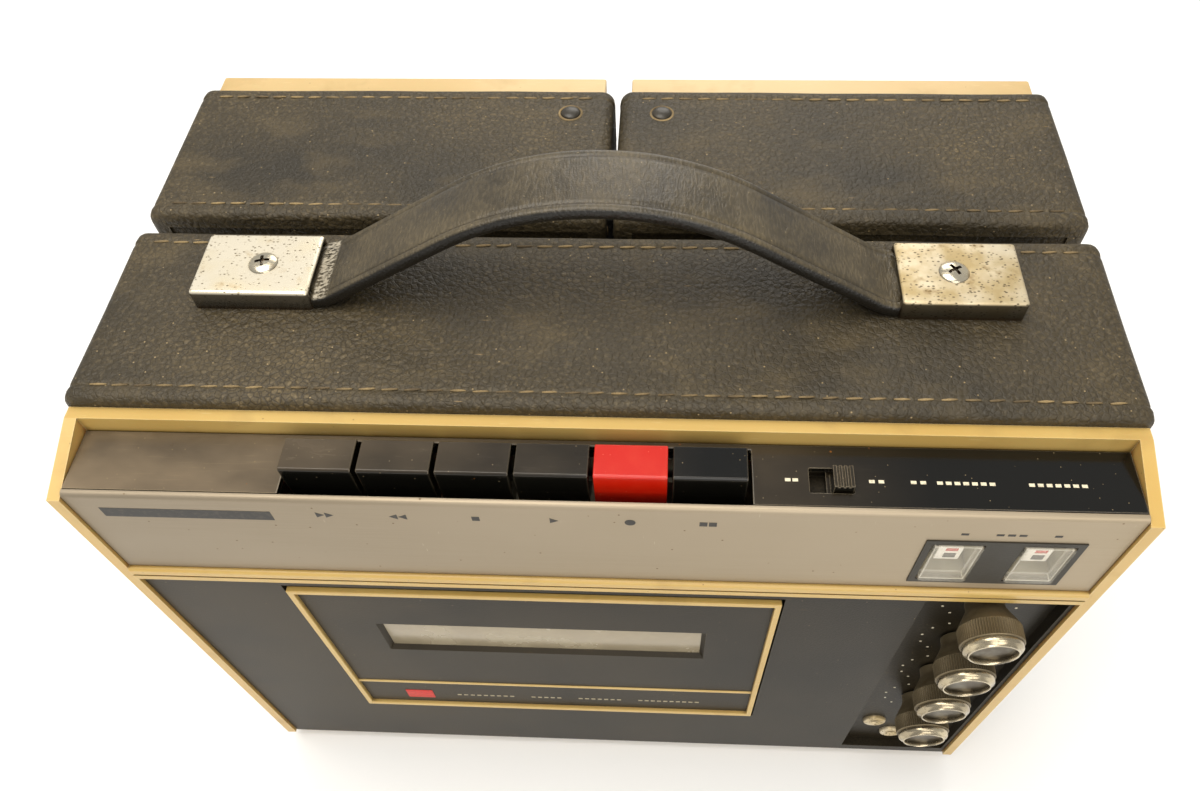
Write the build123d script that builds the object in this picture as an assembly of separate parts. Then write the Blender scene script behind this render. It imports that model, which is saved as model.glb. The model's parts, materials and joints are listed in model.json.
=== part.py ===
"""Portable stereo cassette recorder in a leatherette case, with two lift-off rear speakers.

Origin: middle of the footprint, on the surface the recorder stands on. +Z is up and the
front, with the cassette door and the knobs, faces -Y. Depths are measured back from the
face of the cream front bezel.
"""
from build123d import *
import math
import os

# ---------------------------------------------------------------- driving dimensions (mm)
FACE_Y = -84.0            # face of the front bezel in the part's frame

# leatherette case of the recorder
CASE_HALF_W = 150.0
CASE_Z0, CASE_Z1 = 6.0, 224.0
CASE_FRONT, CASE_BACK = 26.6, 93.4
CASE_WALL = 6.0
CASE_EDGE_R = 3.0

# cream front bezel
BEZEL_HALF_W = 148.3
BEZEL_Z0, BEZEL_Z1 = 8.5, 220.0
BEZEL_CORNER_Z = 213.0    # the cheeks slope down from the lintel to this corner
BEZEL_CHEEK = 3.6
LINTEL_DEPTH = 22.7
SILL_H = 2.5              # height of the lower bar, which the front panel covers
FLANGE_W = 7.0
RAIL_Z0, RAIL_Z1 = 165.8, 172.8
RAIL_GROOVE = 1.0

# black key deck and aluminium fascia
DECK_TOP = 214.5
DECK_T = 2.0
DECK_FRONT, DECK_BACK = 3.2, 22.5
PANEL_HALF_W = 144.5
FASCIA_FACE = 1.0
FASCIA_T = 1.2
FASCIA_TOP = 214.6
FASCIA_ROLL = 1.6

# black front panel with its sunk control strip
FRONT_FACE = 1.2
FRONT_T = 3.0
STRIP_BACK_Z0 = 11.2      # lowest part of the strip's back, just over the sill
STRIP_X0, STRIP_X1 = 99.8, 143.0
STRIP_DEPTH = 5.2
STRIP_FLOOR_T = 3.0
STRIP_Z0 = 13.5

# cassette door
DOOR_X0, DOOR_X1 = -100.4, 56.7
DOOR_Z0, DOOR_Z1 = 51.0, 158.4
DOOR_BACK = 5.0
DOOR_FIELD = 1.7          # depth of the dark inset field
DOOR_REBATE = 2.4         # depth of the rebate behind the cream line
DOOR_GAP_SIDE, DOOR_GAP_TOP, DOOR_GAP_BOTTOM = 0.8, 2.6, 1.8
TRIM_W = 2.0
TRIM_FACE = 0.2
DIVIDER_Z = 75.5
DIVIDER_W = 1.6
HINGE_DEPTH, HINGE_Z = 3.7, 54.0
TRUNNION_R = 1.2
TRUNNION_LEN = 3.0
WINDOW_W, WINDOW_H = 110.0, 20.0
WINDOW_Z = 120.0
WINDOW_BEVEL = 1.4
PANE_LIP = 1.0
PANE_FRONT, PANE_T = 3.4, 1.4

# running clearances
RUN = 0.05
SLIP = 0.3

# keys, on one cross shaft
KEY_PITCH = 21.0
KEY_W = 19.6
KEY_FIRST_X = -73.9
KEY_TOP = 221.2
KEY_FRONT, KEY_REAR = 6.6, 17.2
KEY_SHAFT_DEPTH, KEY_SHAFT_Z = 58.0, 207.0
KEY_SHAFT_R = 2.0
KEY_HUB_R = 4.5
KEY_ARM_W = 6.0
KEY_NAMES = ["fast_forward", "rewind", "stop", "play", "record", "eject"]
NOTCH_X0, NOTCH_X1 = -85.0, 42.6
NOTCH_BACK = 20.6

# speaker monitor slide switch
SWITCH_X0, SWITCH_X1 = 57.7, 69.4
SWITCH_D0, SWITCH_D1 = 7.3, 15.1
SLIDER_W = 5.4

# level meters
METER_X, METER_Z = 112.0, 189.4
METER_PITCH = 24.6
METER_W, METER_H = 14.0, 20.4
METER_PLATE_W, METER_PLATE_H = 43.0, 24.6
METER_DEPTH = 26.0
NEEDLE_TILT = 22.0
NEEDLE_PIVOT_DROP = 8.4

# knobs and sockets on the control strip
KNOB_X = 120.0
KNOB_TOP_Z = 155.5
KNOB_PITCH = 28.8
KNOB_COUNT = 4
KNOB_FACE = -13.0
KNOB_R = 9.7
KNOB_SHAFT_R = 3.0
JACKS = [(109.5, 38.0), (119.0, 24.5)]
JACK_RING_R = 4.7
JACK_BORE_R = 1.8

# carrying handle
CAP_X0, CAP_X1 = 85.0, 120.5
CAP_D0, CAP_D1 = 60.5, 85.0
CAP_H = 6.7
SCREW_X, SCREW_DEPTH = 101.0, 72.8
SCREW_R, SCREW_HEAD_R = 2.0, 4.6
SCREW_CROWN_R = 3.2
STRAP_T = 4.2
STRAP_CROWN_Z = 263.3
STRAP_CROWN_R = 85.0
STRAP_FLANK = 31.0        # degrees, slope of the straight flanks
STRAP_TAB_X = 96.0

# tape mechanism
CHASSIS_D0, CHASSIS_T = 26.6, 1.5
CHASSIS_Z1 = 200.0
BAY_X = 0.5 * (DOOR_X0 + DOOR_X1)
CASSETTE_W = 100.4
SHELF_Z = 91.0
CARRIER_WALL = 3.0
CARRIER_BACK = 21.0
REEL_Z = 120.0
REEL_SPACING = 42.5
CAPSTAN_X, CAPSTAN_Z = -44.0, 147.0
CAPSTAN_R = 1.25
FLYWHEEL_R = 24.0
PULLEY_R = 4.0
MOTOR_X, MOTOR_Z, MOTOR_R = 55.0, 60.0, 16.0
HEAD_TRAVEL = 6.0
ROLLER_R = 6.5

# speakers
SPK_X0, SPK_X1 = 1.0, 149.9
SPK_FRONT, SPK_BACK = 101.0, 166.8
SPK_FRAME_BACK = 181.0
SPK_INSET = 3.7
DRIVER_X, DRIVER_Z, DRIVER_R = 75.5, 115.0, 52.0
HOOK_XS = [40.0, 112.0]
HOOK_Z = 176.0
HOOK_R, HOOK_HEAD_R = 2.2, 4.5
HOOK_HEAD_D0, HOOK_HEAD_D1 = 107.6, 109.4
LIFT = 14.0
STUD_X, STUD_DEPTH, STUD_R = 15.8, 153.3, 3.8
STUD_CROWN_R, STUD_H = 2.0, 1.3
SITTING = (Align.CENTER, Align.CENTER, Align.MIN)
FOOT_R = 7.0


# ---------------------------------------------------------------- helpers
def slab(x0, x1, d0, d1, z0, z1):
    """Box between two x, two depths behind the bezel face and two heights."""
    box = Box(x1 - x0, d1 - d0, z1 - z0)
    return Pos((x0 + x1) / 2, FACE_Y + (d0 + d1) / 2, (z0 + z1) / 2) * box


def prism(points, x0, x1):
    """Outline of (depth, z) points, extruded from x0 to x1."""
    outline = Polyline(*[(FACE_Y + depth, z) for depth, z in points], close=True)
    return extrude(Plane.YZ.offset(x0) * make_face(outline), x1 - x0)


def turned(points, x, z):
    """Outline of (radius, depth) points, turned about an axis along Y."""
    outline = make_face(Polyline(*points, close=True))
    return Pos(x, FACE_Y, z) * revolve(outline, Axis.Y, 360)


def rod(radius, d0, d1, x, z):
    """Plain cylinder along Y between two depths."""
    return Pos(x, FACE_Y + (d0 + d1) / 2, z) * (Rot(90, 0, 0) * Cylinder(radius, d1 - d0))


def rod_x(radius, x0, x1, depth, z):
    """Plain cylinder along X."""
    return Pos((x0 + x1) / 2, FACE_Y + depth, z) * (Rot(0, 90, 0) * Cylinder(radius, x1 - x0))


def rod_z(radius, z0, z1, x, depth):
    """Plain cylinder along Z."""
    return Pos(x, FACE_Y + depth, (z0 + z1) / 2) * Cylinder(radius, z1 - z0)


def mirrored(shape):
    """The same shape on the other side of the middle."""
    return mirror(shape, Plane.YZ)


def key_x(index):
    """Centre of a key, counted from the left."""
    return KEY_FIRST_X + index * KEY_PITCH


def meter_x(side):
    """Centre of a meter: side is -1 for left, 1 for right."""
    return METER_X + side * METER_PITCH / 2


def knob_z(index):
    """Height of a knob's axis, counted from the top."""
    return KNOB_TOP_Z - index * KNOB_PITCH


# ---------------------------------------------------------------- case, bezel and panels
def cabinet_sleeve():
    """Wooden band covered in leatherette, open at front and back."""
    body = slab(-CASE_HALF_W, CASE_HALF_W, CASE_FRONT, CASE_BACK, CASE_Z0, CASE_Z1)
    body = fillet(body.edges(), CASE_EDGE_R)
    inner = CASE_HALF_W - CASE_WALL
    body -= slab(-inner, inner, CASE_FRONT - 1, CASE_BACK + 1, CASE_Z0 + CASE_WALL, CASE_Z1 - CASE_WALL)
    for x in (-SCREW_X, SCREW_X):
        body -= rod_z(SCREW_R + RUN, CASE_Z1 - CASE_WALL - 1, CASE_Z1 + 1, x, SCREW_DEPTH)
    return body


def front_bezel():
    """Cream moulding: two cheeks, a lintel over the keys and a double rail across."""
    inner = BEZEL_HALF_W - BEZEL_CHEEK
    side = [
        (0, BEZEL_Z0),
        (0, BEZEL_CORNER_Z),
        (LINTEL_DEPTH, BEZEL_Z1),
        (CASE_FRONT, BEZEL_Z1),
        (CASE_FRONT, BEZEL_Z0),
    ]
    body = prism(side, -BEZEL_HALF_W, BEZEL_HALF_W)
    body -= slab(-inner, inner, -1, LINTEL_DEPTH, BEZEL_Z0 + SILL_H, BEZEL_Z1 + 1)
    body -= slab(-inner, inner, -1, FRONT_FACE + FRONT_T, BEZEL_Z0 - 1, BEZEL_Z0 + SILL_H + 1)
    flange = inner - FLANGE_W
    body -= slab(-flange, flange, LINTEL_DEPTH - 1, CASE_FRONT + 1, BEZEL_Z0 + FLANGE_W,
                 DECK_TOP - DECK_T - 0.5)
    rail = slab(-inner, inner, -0.6, 5.0, RAIL_Z0, RAIL_Z1)
    rail = fillet(rail.edges().group_by(Axis.Y)[0].filter_by(Axis.X), 1.2)
    middle = (RAIL_Z0 + RAIL_Z1) / 2
    rail -= slab(-inner, inner, -1, 0.5, middle - RAIL_GROOVE / 2, middle + RAIL_GROOVE / 2)
    return body + rail


def key_deck():
    """Black top plate, notched for the keys and slotted for the monitor switch."""
    body = slab(-PANEL_HALF_W, PANEL_HALF_W, DECK_FRONT, DECK_BACK, DECK_TOP - DECK_T, DECK_TOP)
    body -= slab(NOTCH_X0, NOTCH_X1, DECK_FRONT - 1, NOTCH_BACK, DECK_TOP - 5, DECK_TOP + 1)
    body -= slab(SWITCH_X0, SWITCH_X1, SWITCH_D0, SWITCH_D1, DECK_TOP - 5, DECK_TOP + 1)
    return body


def silver_panel():
    """Aluminium fascia with its top edge rolled back over the deck."""
    back = FASCIA_FACE + FASCIA_T
    side = [
        (FASCIA_FACE, RAIL_Z1 + 0.2),
        (FASCIA_FACE, FASCIA_TOP),
        (DECK_FRONT - 0.2, FASCIA_TOP),
        (DECK_FRONT - 0.2, FASCIA_TOP - FASCIA_T),
        (back, FASCIA_TOP - FASCIA_T),
        (back, RAIL_Z1 + 0.2),
    ]
    body = prism(side, -PANEL_HALF_W, PANEL_HALF_W)
    nose = body.edges().filter_by(Axis.X).group_by(Axis.Z)[-1].sort_by(Axis.Y)[0]
    body = fillet(nose, FASCIA_ROLL)
    for side_sign in (-1, 1):
        x = meter_x(side_sign)
        half_w, half_h = METER_W / 2 + 0.3, METER_H / 2 + 0.3
        body -= slab(x - half_w, x + half_w, 0, 4, METER_Z - half_h, METER_Z + half_h)
    return body


def front_panel():
    """Black panel with the door opening, door bearings and the sunk control strip."""
    body = slab(-PANEL_HALF_W, PANEL_HALF_W, FRONT_FACE, FRONT_FACE + FRONT_T, BEZEL_Z0, RAIL_Z0)
    strip_back = STRIP_DEPTH + STRIP_FLOOR_T
    body += slab(STRIP_X0 - 2, PANEL_HALF_W, FRONT_FACE, strip_back, STRIP_BACK_Z0, RAIL_Z0)
    body -= slab(STRIP_X0, STRIP_X1, FRONT_FACE - 1, STRIP_DEPTH, STRIP_Z0, RAIL_Z0 + 1)
    for x0 in (DOOR_X0 - DOOR_GAP_SIDE - 5, DOOR_X1 + DOOR_GAP_SIDE):
        body += slab(x0, x0 + 5, FRONT_FACE, 7.0, HINGE_Z - 5, HINGE_Z + 5)
    body -= slab(DOOR_X0 - DOOR_GAP_SIDE, DOOR_X1 + DOOR_GAP_SIDE, FRONT_FACE - 1,
                 FRONT_FACE + FRONT_T + 5,
                 DOOR_Z0 - DOOR_GAP_BOTTOM, DOOR_Z1 + DOOR_GAP_TOP)
    bearing_reach = DOOR_GAP_SIDE + TRUNNION_LEN + 0.5
    body -= rod_x(TRUNNION_R + RUN, DOOR_X0 - bearing_reach, DOOR_X1 + bearing_reach, HINGE_DEPTH,
                  HINGE_Z)
    for index in range(KNOB_COUNT):
        body -= rod(3.7, STRIP_DEPTH - 1, strip_back + 1, KNOB_X, knob_z(index))
    for x, z in JACKS:
        body -= rod(3.3, STRIP_DEPTH - 1, strip_back + 1, x, z)
    return body


# ---------------------------------------------------------------- cassette door
def door_field(inset, d0, d1):
    """Block that fills the door's outline, pulled in by inset."""
    return slab(DOOR_X0 + inset, DOOR_X1 - inset, d0, d1, DOOR_Z0 + inset, DOOR_Z1 - inset)


def door_panel():
    """Dark door moulding with the window opening, its pane rebate and two trunnions."""
    body = door_field(0, DOOR_REBATE, DOOR_BACK) + door_field(TRIM_W, DOOR_FIELD, DOOR_BACK)
    body -= slab(DOOR_X0, DOOR_X1, DOOR_FIELD - 1, DOOR_REBATE, DIVIDER_Z - DIVIDER_W / 2,
                 DIVIDER_Z + DIVIDER_W / 2)
    half_w, half_h = WINDOW_W / 2, WINDOW_H / 2
    reach = PANE_FRONT - DOOR_FIELD
    flare = WINDOW_BEVEL * 2
    mouth = Pos(0, 0, reach) * Rectangle(WINDOW_W, WINDOW_H)
    funnel = loft([Rectangle(WINDOW_W + flare, WINDOW_H + flare), mouth])
    body -= Pos(BAY_X, FACE_Y + DOOR_FIELD, WINDOW_Z) * (Rot(-90, 0, 0) * funnel)
    body -= slab(BAY_X - half_w, BAY_X + half_w, PANE_FRONT - 0.2, DOOR_BACK + 1, WINDOW_Z - half_h,
                 WINDOW_Z + half_h)
    lip_w, lip_h = half_w + PANE_LIP + 0.1, half_h + PANE_LIP + 0.1
    body -= slab(BAY_X - lip_w, BAY_X + lip_w, PANE_FRONT, DOOR_BACK + 1, WINDOW_Z - lip_h,
                 WINDOW_Z + lip_h)
    for x, sign in ((DOOR_X0, -1), (DOOR_X1, 1)):
        ends = sorted((x - sign, x + sign * (DOOR_GAP_SIDE + TRUNNION_LEN)))
        body += rod_x(TRUNNION_R, ends[0], ends[1], HINGE_DEPTH, HINGE_Z)
    return body


def door_trim():
    """Cream line round the door, with the divider above its lower strip."""
    body = door_field(0, TRIM_FACE, DOOR_REBATE) - door_field(TRIM_W, TRIM_FACE - 1, DOOR_REBATE + 1)
    half = DIVIDER_W / 2
    body += slab(DOOR_X0 + TRIM_W / 2, DOOR_X1 - TRIM_W / 2, DOOR_FIELD - 0.5, DOOR_REBATE,
                 DIVIDER_Z - half, DIVIDER_Z + half)
    return body


def door_window():
    """Clear pane seated from behind."""
    half_w, half_h = WINDOW_W / 2 + PANE_LIP, WINDOW_H / 2 + PANE_LIP
    return slab(BAY_X - half_w, BAY_X + half_w, PANE_FRONT, PANE_FRONT + PANE_T, WINDOW_Z - half_h,
                WINDOW_Z + half_h)


def cassette_carrier():
    """Two guide rails and a shelf behind the door, which hold the cassette."""
    half = CASSETTE_W / 2 + 1.5
    body = slab(BAY_X - half - CARRIER_WALL, BAY_X + half + CARRIER_WALL, DOOR_BACK, CARRIER_BACK,
                SHELF_Z - 2.5, 150)
    body -= slab(BAY_X - half, BAY_X + half, DOOR_BACK - 1, CARRIER_BACK + 1, SHELF_Z, 151)
    return body


# ---------------------------------------------------------------- keys
def key(index):
    """One-piece moulded key: finger cap, arm and hub."""
    x = key_x(index)
    cap = [(7.6, 204), (6.8, 213), (KEY_FRONT, KEY_TOP - 0.6), (KEY_FRONT + 0.5, KEY_TOP),
           (KEY_REAR - 0.5, KEY_TOP), (KEY_REAR, KEY_TOP - 0.6), (KEY_REAR, 204)]
    body = prism(cap, x - KEY_W / 2, x + KEY_W / 2)
    arm = slab(x - KEY_ARM_W / 2, x + KEY_ARM_W / 2, KEY_REAR - 2, KEY_SHAFT_DEPTH, KEY_SHAFT_Z - 2.6,
               KEY_SHAFT_Z + 3.4)
    body += arm
    body += rod_x(KEY_HUB_R, x - 4, x + 4, KEY_SHAFT_DEPTH, KEY_SHAFT_Z)
    body -= rod_x(KEY_SHAFT_R + RUN, x - 5, x + 5, KEY_SHAFT_DEPTH, KEY_SHAFT_Z)
    return body


def key_shaft():
    """Cross shaft that all six keys turn on."""
    return rod_x(KEY_SHAFT_R, -97, 56, KEY_SHAFT_DEPTH, KEY_SHAFT_Z)


# ---------------------------------------------------------------- monitor switch
def monitor_slider():
    """Ribbed finger piece with a wider foot under the deck."""
    x1 = SWITCH_X1 - 0.2
    x0 = x1 - SLIDER_W
    body = slab(x0, x1, SWITCH_D0 + 0.5, SWITCH_D1 - 0.5, 211.0, 217.0)
    for index in range(3):
        groove = x0 + 1.0 + index * 1.4
        body -= slab(groove, groove + 0.6, SWITCH_D0, SWITCH_D1, 216.4, 218)
    return body + slab(x0 - 1.2, x1 + 1.2, SWITCH_D0 - 0.6, SWITCH_D1 + 0.6, 209.2, 212.0)


def switch_body():
    """Switch housing under the deck, open at the top for the slider's foot."""
    body = slab(50, 77, 4.6, 17.8, 198, 212.4)
    return body - slab(53.4, 74.2, 6.2, 16.2, 208.9, 213)


# ---------------------------------------------------------------- level meters
def meter_plate():
    """Thin black surround of the two meter windows."""
    half_w, half_h = METER_PLATE_W / 2, METER_PLATE_H / 2
    body = slab(METER_X - half_w, METER_X + half_w, 0.6, FASCIA_FACE, METER_Z - half_h, METER_Z + half_h)
    for side in (-1, 1):
        x = meter_x(side)
        body -= slab(x - METER_W / 2 - 0.2, x + METER_W / 2 + 0.2, 0, 2, METER_Z - METER_H / 2 - 0.2,
                     METER_Z + METER_H / 2 + 0.2)
    return body


def meter_housing(side):
    """Box of a meter movement, open at the front."""
    x = meter_x(side)
    body = slab(x - 9.6, x + 9.6, 2.4, METER_DEPTH, METER_Z - 12.6, METER_Z + 12.6)
    body -= slab(x - 8.2, x + 8.2, 2.0, 12.2, METER_Z - 11.4, METER_Z + 11.4)
    return body - rod(0.7, 12, 15, x, METER_Z - NEEDLE_PIVOT_DROP)


def meter_dial(side):
    """White scale plate at the back of the meter's well."""
    x = meter_x(side)
    body = slab(x - 8.0, x + 8.0, 11.2, 12.2, METER_Z - 11.2, METER_Z + 11.2)
    return body - rod(0.7, 11, 13, x, METER_Z - NEEDLE_PIVOT_DROP)


def meter_lens(side):
    """Clear cover that stands a little proud of the fascia."""
    x = meter_x(side)
    half_w, half_h = METER_W / 2, METER_H / 2
    body = slab(x - half_w, x + half_w, -0.8, 3.2, METER_Z - half_h, METER_Z + half_h)
    body = fillet(body.edges().group_by(Axis.Y)[0], 1.0)
    return body - slab(x - half_w + 1, x + half_w - 1, 0.2, 4, METER_Z - half_h + 1,
                       METER_Z + half_h - 1)


def meter_needle(side):
    """Needle with its hub and pivot, leaning left at rest."""
    pivot_z = METER_Z - NEEDLE_PIVOT_DROP
    blade = Pos(0, FACE_Y + 9.0, 8.2) * Box(0.8, 0.5, 15.0)
    blade = Rot(0, -NEEDLE_TILT, 0) * (Pos(0, -FACE_Y, 0) * blade)
    body = Pos(meter_x(side), FACE_Y, pivot_z) * blade
    body += rod(1.5, 8.4, 9.8, meter_x(side), pivot_z)
    return body + rod(0.6, 9, 14, meter_x(side), pivot_z)


# ---------------------------------------------------------------- knobs and sockets
def knob(index):
    """Turned knob: waist, wide knurled band, bright rim and a sunk cap, on its shaft."""
    profile = [(0, KNOB_FACE + 1.2), (6.9, KNOB_FACE + 1.2), (7.4, KNOB_FACE), (8.3, KNOB_FACE + 0.3),
               (8.9, KNOB_FACE + 2.6), (9.4, KNOB_FACE + 3.2), (KNOB_R, KNOB_FACE + 4.2), (KNOB_R,
                                                                                           KNOB_FACE + 8.8),
               (9.0, KNOB_FACE + 10.2), (6.6, KNOB_FACE + 13.4), (6.0, STRIP_DEPTH - 0.6),
               (KNOB_SHAFT_R, STRIP_DEPTH - 0.6),
               (KNOB_SHAFT_R, 14.0), (0, 14.0)]
    return turned(profile, KNOB_X, knob_z(index))


def control_pot(index):
    """Potentiometer: threaded bush through the strip and a can behind it."""
    floor_back = STRIP_DEPTH + STRIP_FLOOR_T
    z = knob_z(index)
    body = rod(3.6, STRIP_DEPTH, floor_back, KNOB_X, z) + rod(8.5, floor_back, floor_back + 9, KNOB_X, z)
    return body - rod(KNOB_SHAFT_R + RUN, STRIP_DEPTH - 1, 15, KNOB_X, z)


def jack_socket(x, z):
    """Plated ring nut and the barrel of a jack socket."""
    body = rod(JACK_RING_R, STRIP_DEPTH - 1.6, STRIP_DEPTH, x, z)
    body = fillet(body.edges().group_by(Axis.Y)[0], 0.6)
    body += rod(3.2, STRIP_DEPTH, STRIP_DEPTH + 15, x, z)
    return body - rod(JACK_BORE_R, STRIP_DEPTH - 3, STRIP_DEPTH + 13, x, z)


# ---------------------------------------------------------------- handle
def handle_cap():
    """Plated end plate of the handle, hollow where it clamps the strap's end."""
    body = slab(CAP_X0, CAP_X1, CAP_D0, CAP_D1, CASE_Z1, CASE_Z1 + CAP_H)
    body = chamfer(body.edges().group_by(Axis.Z)[-1], 1.0)
    body -= slab(CAP_X0 - 1, STRAP_TAB_X + 1, CAP_D0 + 1.5, CAP_D1 - 1.5, CASE_Z1 - 1,
                 CASE_Z1 + STRAP_T + 0.8)
    return body - rod_z(SCREW_R + RUN, CASE_Z1 - 1, CASE_Z1 + CAP_H + 1, SCREW_X, SCREW_DEPTH)


def handle_screw():
    """Cross-recess raised-head screw through the cap into the case."""
    top = CASE_Z1 + CAP_H
    head = Pos(SCREW_X, FACE_Y + SCREW_DEPTH, top) * Cone(SCREW_HEAD_R, SCREW_CROWN_R, 1.5, align=SITTING)
    body = head + rod_z(SCREW_R, CASE_Z1 - 4, top, SCREW_X, SCREW_DEPTH)
    for half_x, half_y in ((2.2, 0.45), (0.45, 2.2)):
        body -= slab(SCREW_X - half_x, SCREW_X + half_x, SCREW_DEPTH - half_y, SCREW_DEPTH + half_y,
                     top + 0.4, top + 3)
    return body


def strap_line(drop):
    """Outline of one face of the strap, drop below the outer face: flank, crown arc, flank."""
    slope = math.radians(STRAP_FLANK)
    radius = STRAP_CROWN_R - drop
    crown_x, crown_z = radius * math.sin(slope), STRAP_CROWN_Z - STRAP_CROWN_R + radius * math.cos(slope)
    foot_x = CAP_X0 - 0.3
    foot_z = crown_z - (foot_x - crown_x) * math.tan(slope)
    arc = ThreePointArc((-crown_x, crown_z), (0, STRAP_CROWN_Z - drop), (crown_x, crown_z))
    return (-foot_x, foot_z), (-crown_x, crown_z), arc, (crown_x, crown_z), (foot_x, foot_z)


def handle_strap():
    """Leather strap: crowned arch between the caps, with a thin tab under each cap."""
    foot_l, crown_l, arc, crown_r, foot_r = strap_line(0)
    low_foot_l, low_crown_l, low_arc, low_crown_r, low_foot_r = strap_line(STRAP_T)
    wire = [Line(foot_l, crown_l), arc, Line(crown_r, foot_r), Line(foot_r, low_foot_r),
            Line(low_foot_r, low_crown_r), low_arc, Line(low_crown_l, low_foot_l), Line(low_foot_l,
                                                                                        foot_l)]
    face = make_face(wire)
    arch = extrude(Plane.XZ * face, CAP_D1 - CAP_D0 - 0.4)
    arch = Pos(0, FACE_Y + CAP_D1 - 0.2, 0) * arch
    arch &= slab(-CAP_X0, CAP_X0, CAP_D0, CAP_D1, CASE_Z1 + 0.2, STRAP_CROWN_Z + 1)
    tab = slab(CAP_X0 - 6, STRAP_TAB_X, CAP_D0 + 1.9, CAP_D1 - 1.9, CASE_Z1 + 0.2, CASE_Z1 + STRAP_T)
    return arch + tab + mirrored(tab)


# ---------------------------------------------------------------- tape mechanism
def chassis_plate():
    """Steel plate behind the cassette bay, with ears for the key shaft and bearing bushes."""
    back = CHASSIS_D0 + CHASSIS_T
    body = slab(-143.5, 143.5, CHASSIS_D0, back, 13, CHASSIS_Z1)
    for x in (-96, 53):
        body += slab(x, x + 2, CHASSIS_D0, KEY_SHAFT_DEPTH + 6, CHASSIS_Z1 - 12, KEY_SHAFT_Z + 6)
    body -= rod_x(KEY_SHAFT_R + RUN, -98, 58, KEY_SHAFT_DEPTH, KEY_SHAFT_Z)
    body += rod(4.0, back, back + 6, CAPSTAN_X, CAPSTAN_Z)
    body -= rod(CAPSTAN_R + RUN, CHASSIS_D0 - 1, back + 7, CAPSTAN_X, CAPSTAN_Z)
    for sign in (-1, 1):
        x = BAY_X + sign * REEL_SPACING / 2
        body -= rod(1.5 + RUN, CHASSIS_D0 - 1, back + 1, x, REEL_Z)
    return body


def flywheel():
    """Flywheel with the capstan as its spindle."""
    profile = [(0, 10), (CAPSTAN_R, 10), (CAPSTAN_R, 35), (5, 35), (5, 38.4), (FLYWHEEL_R, 38.4),
               (FLYWHEEL_R, 46), (0, 46)]
    return turned(profile, CAPSTAN_X, CAPSTAN_Z)


def reel_spindle(sign):
    """Reel table with its three-finned drive post."""
    x = BAY_X + sign * REEL_SPACING / 2
    profile = [
        (0, 12), (2.4, 12), (3.4, 14), (3.4, 22), (14, 22), (14, 25),
        (4, 25), (4, 26.2), (1.5, 26.2), (1.5, 33), (0, 33),
    ]
    body = turned(profile, x, REEL_Z)
    for turn in range(3):
        fin = Rot(0, 120 * turn, 0) * (Pos(0, 0, 3.6) * Box(1.2, 7.5, 2.4))
        body += Pos(x, FACE_Y + 18.5, REEL_Z) * fin
    return body


def head_plate():
    """Sliding plate that brings the heads and the pinch roller down to the tape."""
    body = slab(BAY_X - 54, BAY_X + 54, 23.6, 25.2, 158, 192)
    roller_z = CAPSTAN_Z + CAPSTAN_R + ROLLER_R + HEAD_TRAVEL + SLIP
    return body + rod(1.5, 9.6, 24, CAPSTAN_X, roller_z)


def tape_heads():
    """Record-play head and erase head blocks."""
    heads = []
    for x, width in ((BAY_X, 14.0), (BAY_X + 19.0, 9.0)):
        block = slab(x - width / 2, x + width / 2, 9, 23.6, 160, 173)
        heads.append(fillet(block.edges().group_by(Axis.Z)[0].filter_by(Axis.Y), 2.5))
    return heads


def pinch_roller():
    """Rubber roller on its pin."""
    roller_z = CAPSTAN_Z + CAPSTAN_R + ROLLER_R + HEAD_TRAVEL + SLIP
    return turned([(1.5 + RUN, 10.2), (ROLLER_R, 10.2), (ROLLER_R, 18.6), (1.5 + RUN, 18.6)],
                  CAPSTAN_X, roller_z)


def motor():
    """Drive motor standing off the chassis plate on three posts."""
    back = CHASSIS_D0 + CHASSIS_T
    body = rod(MOTOR_R, 52, 82, MOTOR_X, MOTOR_Z)
    belt_angle = math.atan2(CAPSTAN_Z - MOTOR_Z, CAPSTAN_X - MOTOR_X)
    for turn in (60, 180, 300):
        angle = belt_angle + math.radians(turn)
        body += rod(2, back, 53, MOTOR_X + 12 * math.cos(angle), MOTOR_Z + 12 * math.sin(angle))
    return body - rod(1.0 + RUN, 51, 56, MOTOR_X, MOTOR_Z)


def motor_pulley():
    """Pulley on the motor's shaft."""
    body = rod(PULLEY_R, 39.6, 45, MOTOR_X, MOTOR_Z)
    return body + rod(1.0, 39, 55.5, MOTOR_X, MOTOR_Z)


def belt_outline(extra):
    """Face inside a belt run round the flywheel and the pulley, extra outside their rims."""
    wheel = Pos(CAPSTAN_X, CAPSTAN_Z) * Circle(FLYWHEEL_R + extra)
    pulley = Pos(MOTOR_X, MOTOR_Z) * Circle(PULLEY_R + extra)
    return make_hull((wheel + pulley).edges())


def drive_belt():
    """Flat rubber belt from the pulley to the flywheel."""
    ring = belt_outline(SLIP + 1.2) - belt_outline(SLIP)
    body = extrude(Plane.XZ * ring, 4.0)
    return Pos(0, FACE_Y + 44.2, 0) * body


def circuit_board():
    """Amplifier board with the tallest of its components."""
    body = slab(-134, 134, 84, 85.6, 26, 204)
    for column in range(5):
        for row in range(3):
            x = -118 + column * 34
            z = 120 + row * 27
            body += slab(x, x + 9 + 3 * row, 85.6 - 10, 84.5, z, z + 12)
    return body


# ---------------------------------------------------------------- back of the recorder
def back_cover():
    """Moulded back with ventilation slots and holes for the speaker hooks."""
    body = slab(-143.7, 143.7, 88, 92, CASE_Z0 + CASE_WALL + 0.3, CASE_Z1 - CASE_WALL - 0.3)
    for side in (-1, 1):
        for row in range(6):
            x = side * 75
            z = 60 + row * 9
            body -= slab(x - 30, x + 30, 87, 93, z, z + 3)
        for x in HOOK_XS:
            body -= rod(HOOK_R + RUN, 87, 93, side * x, HOOK_Z)
    return body


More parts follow.
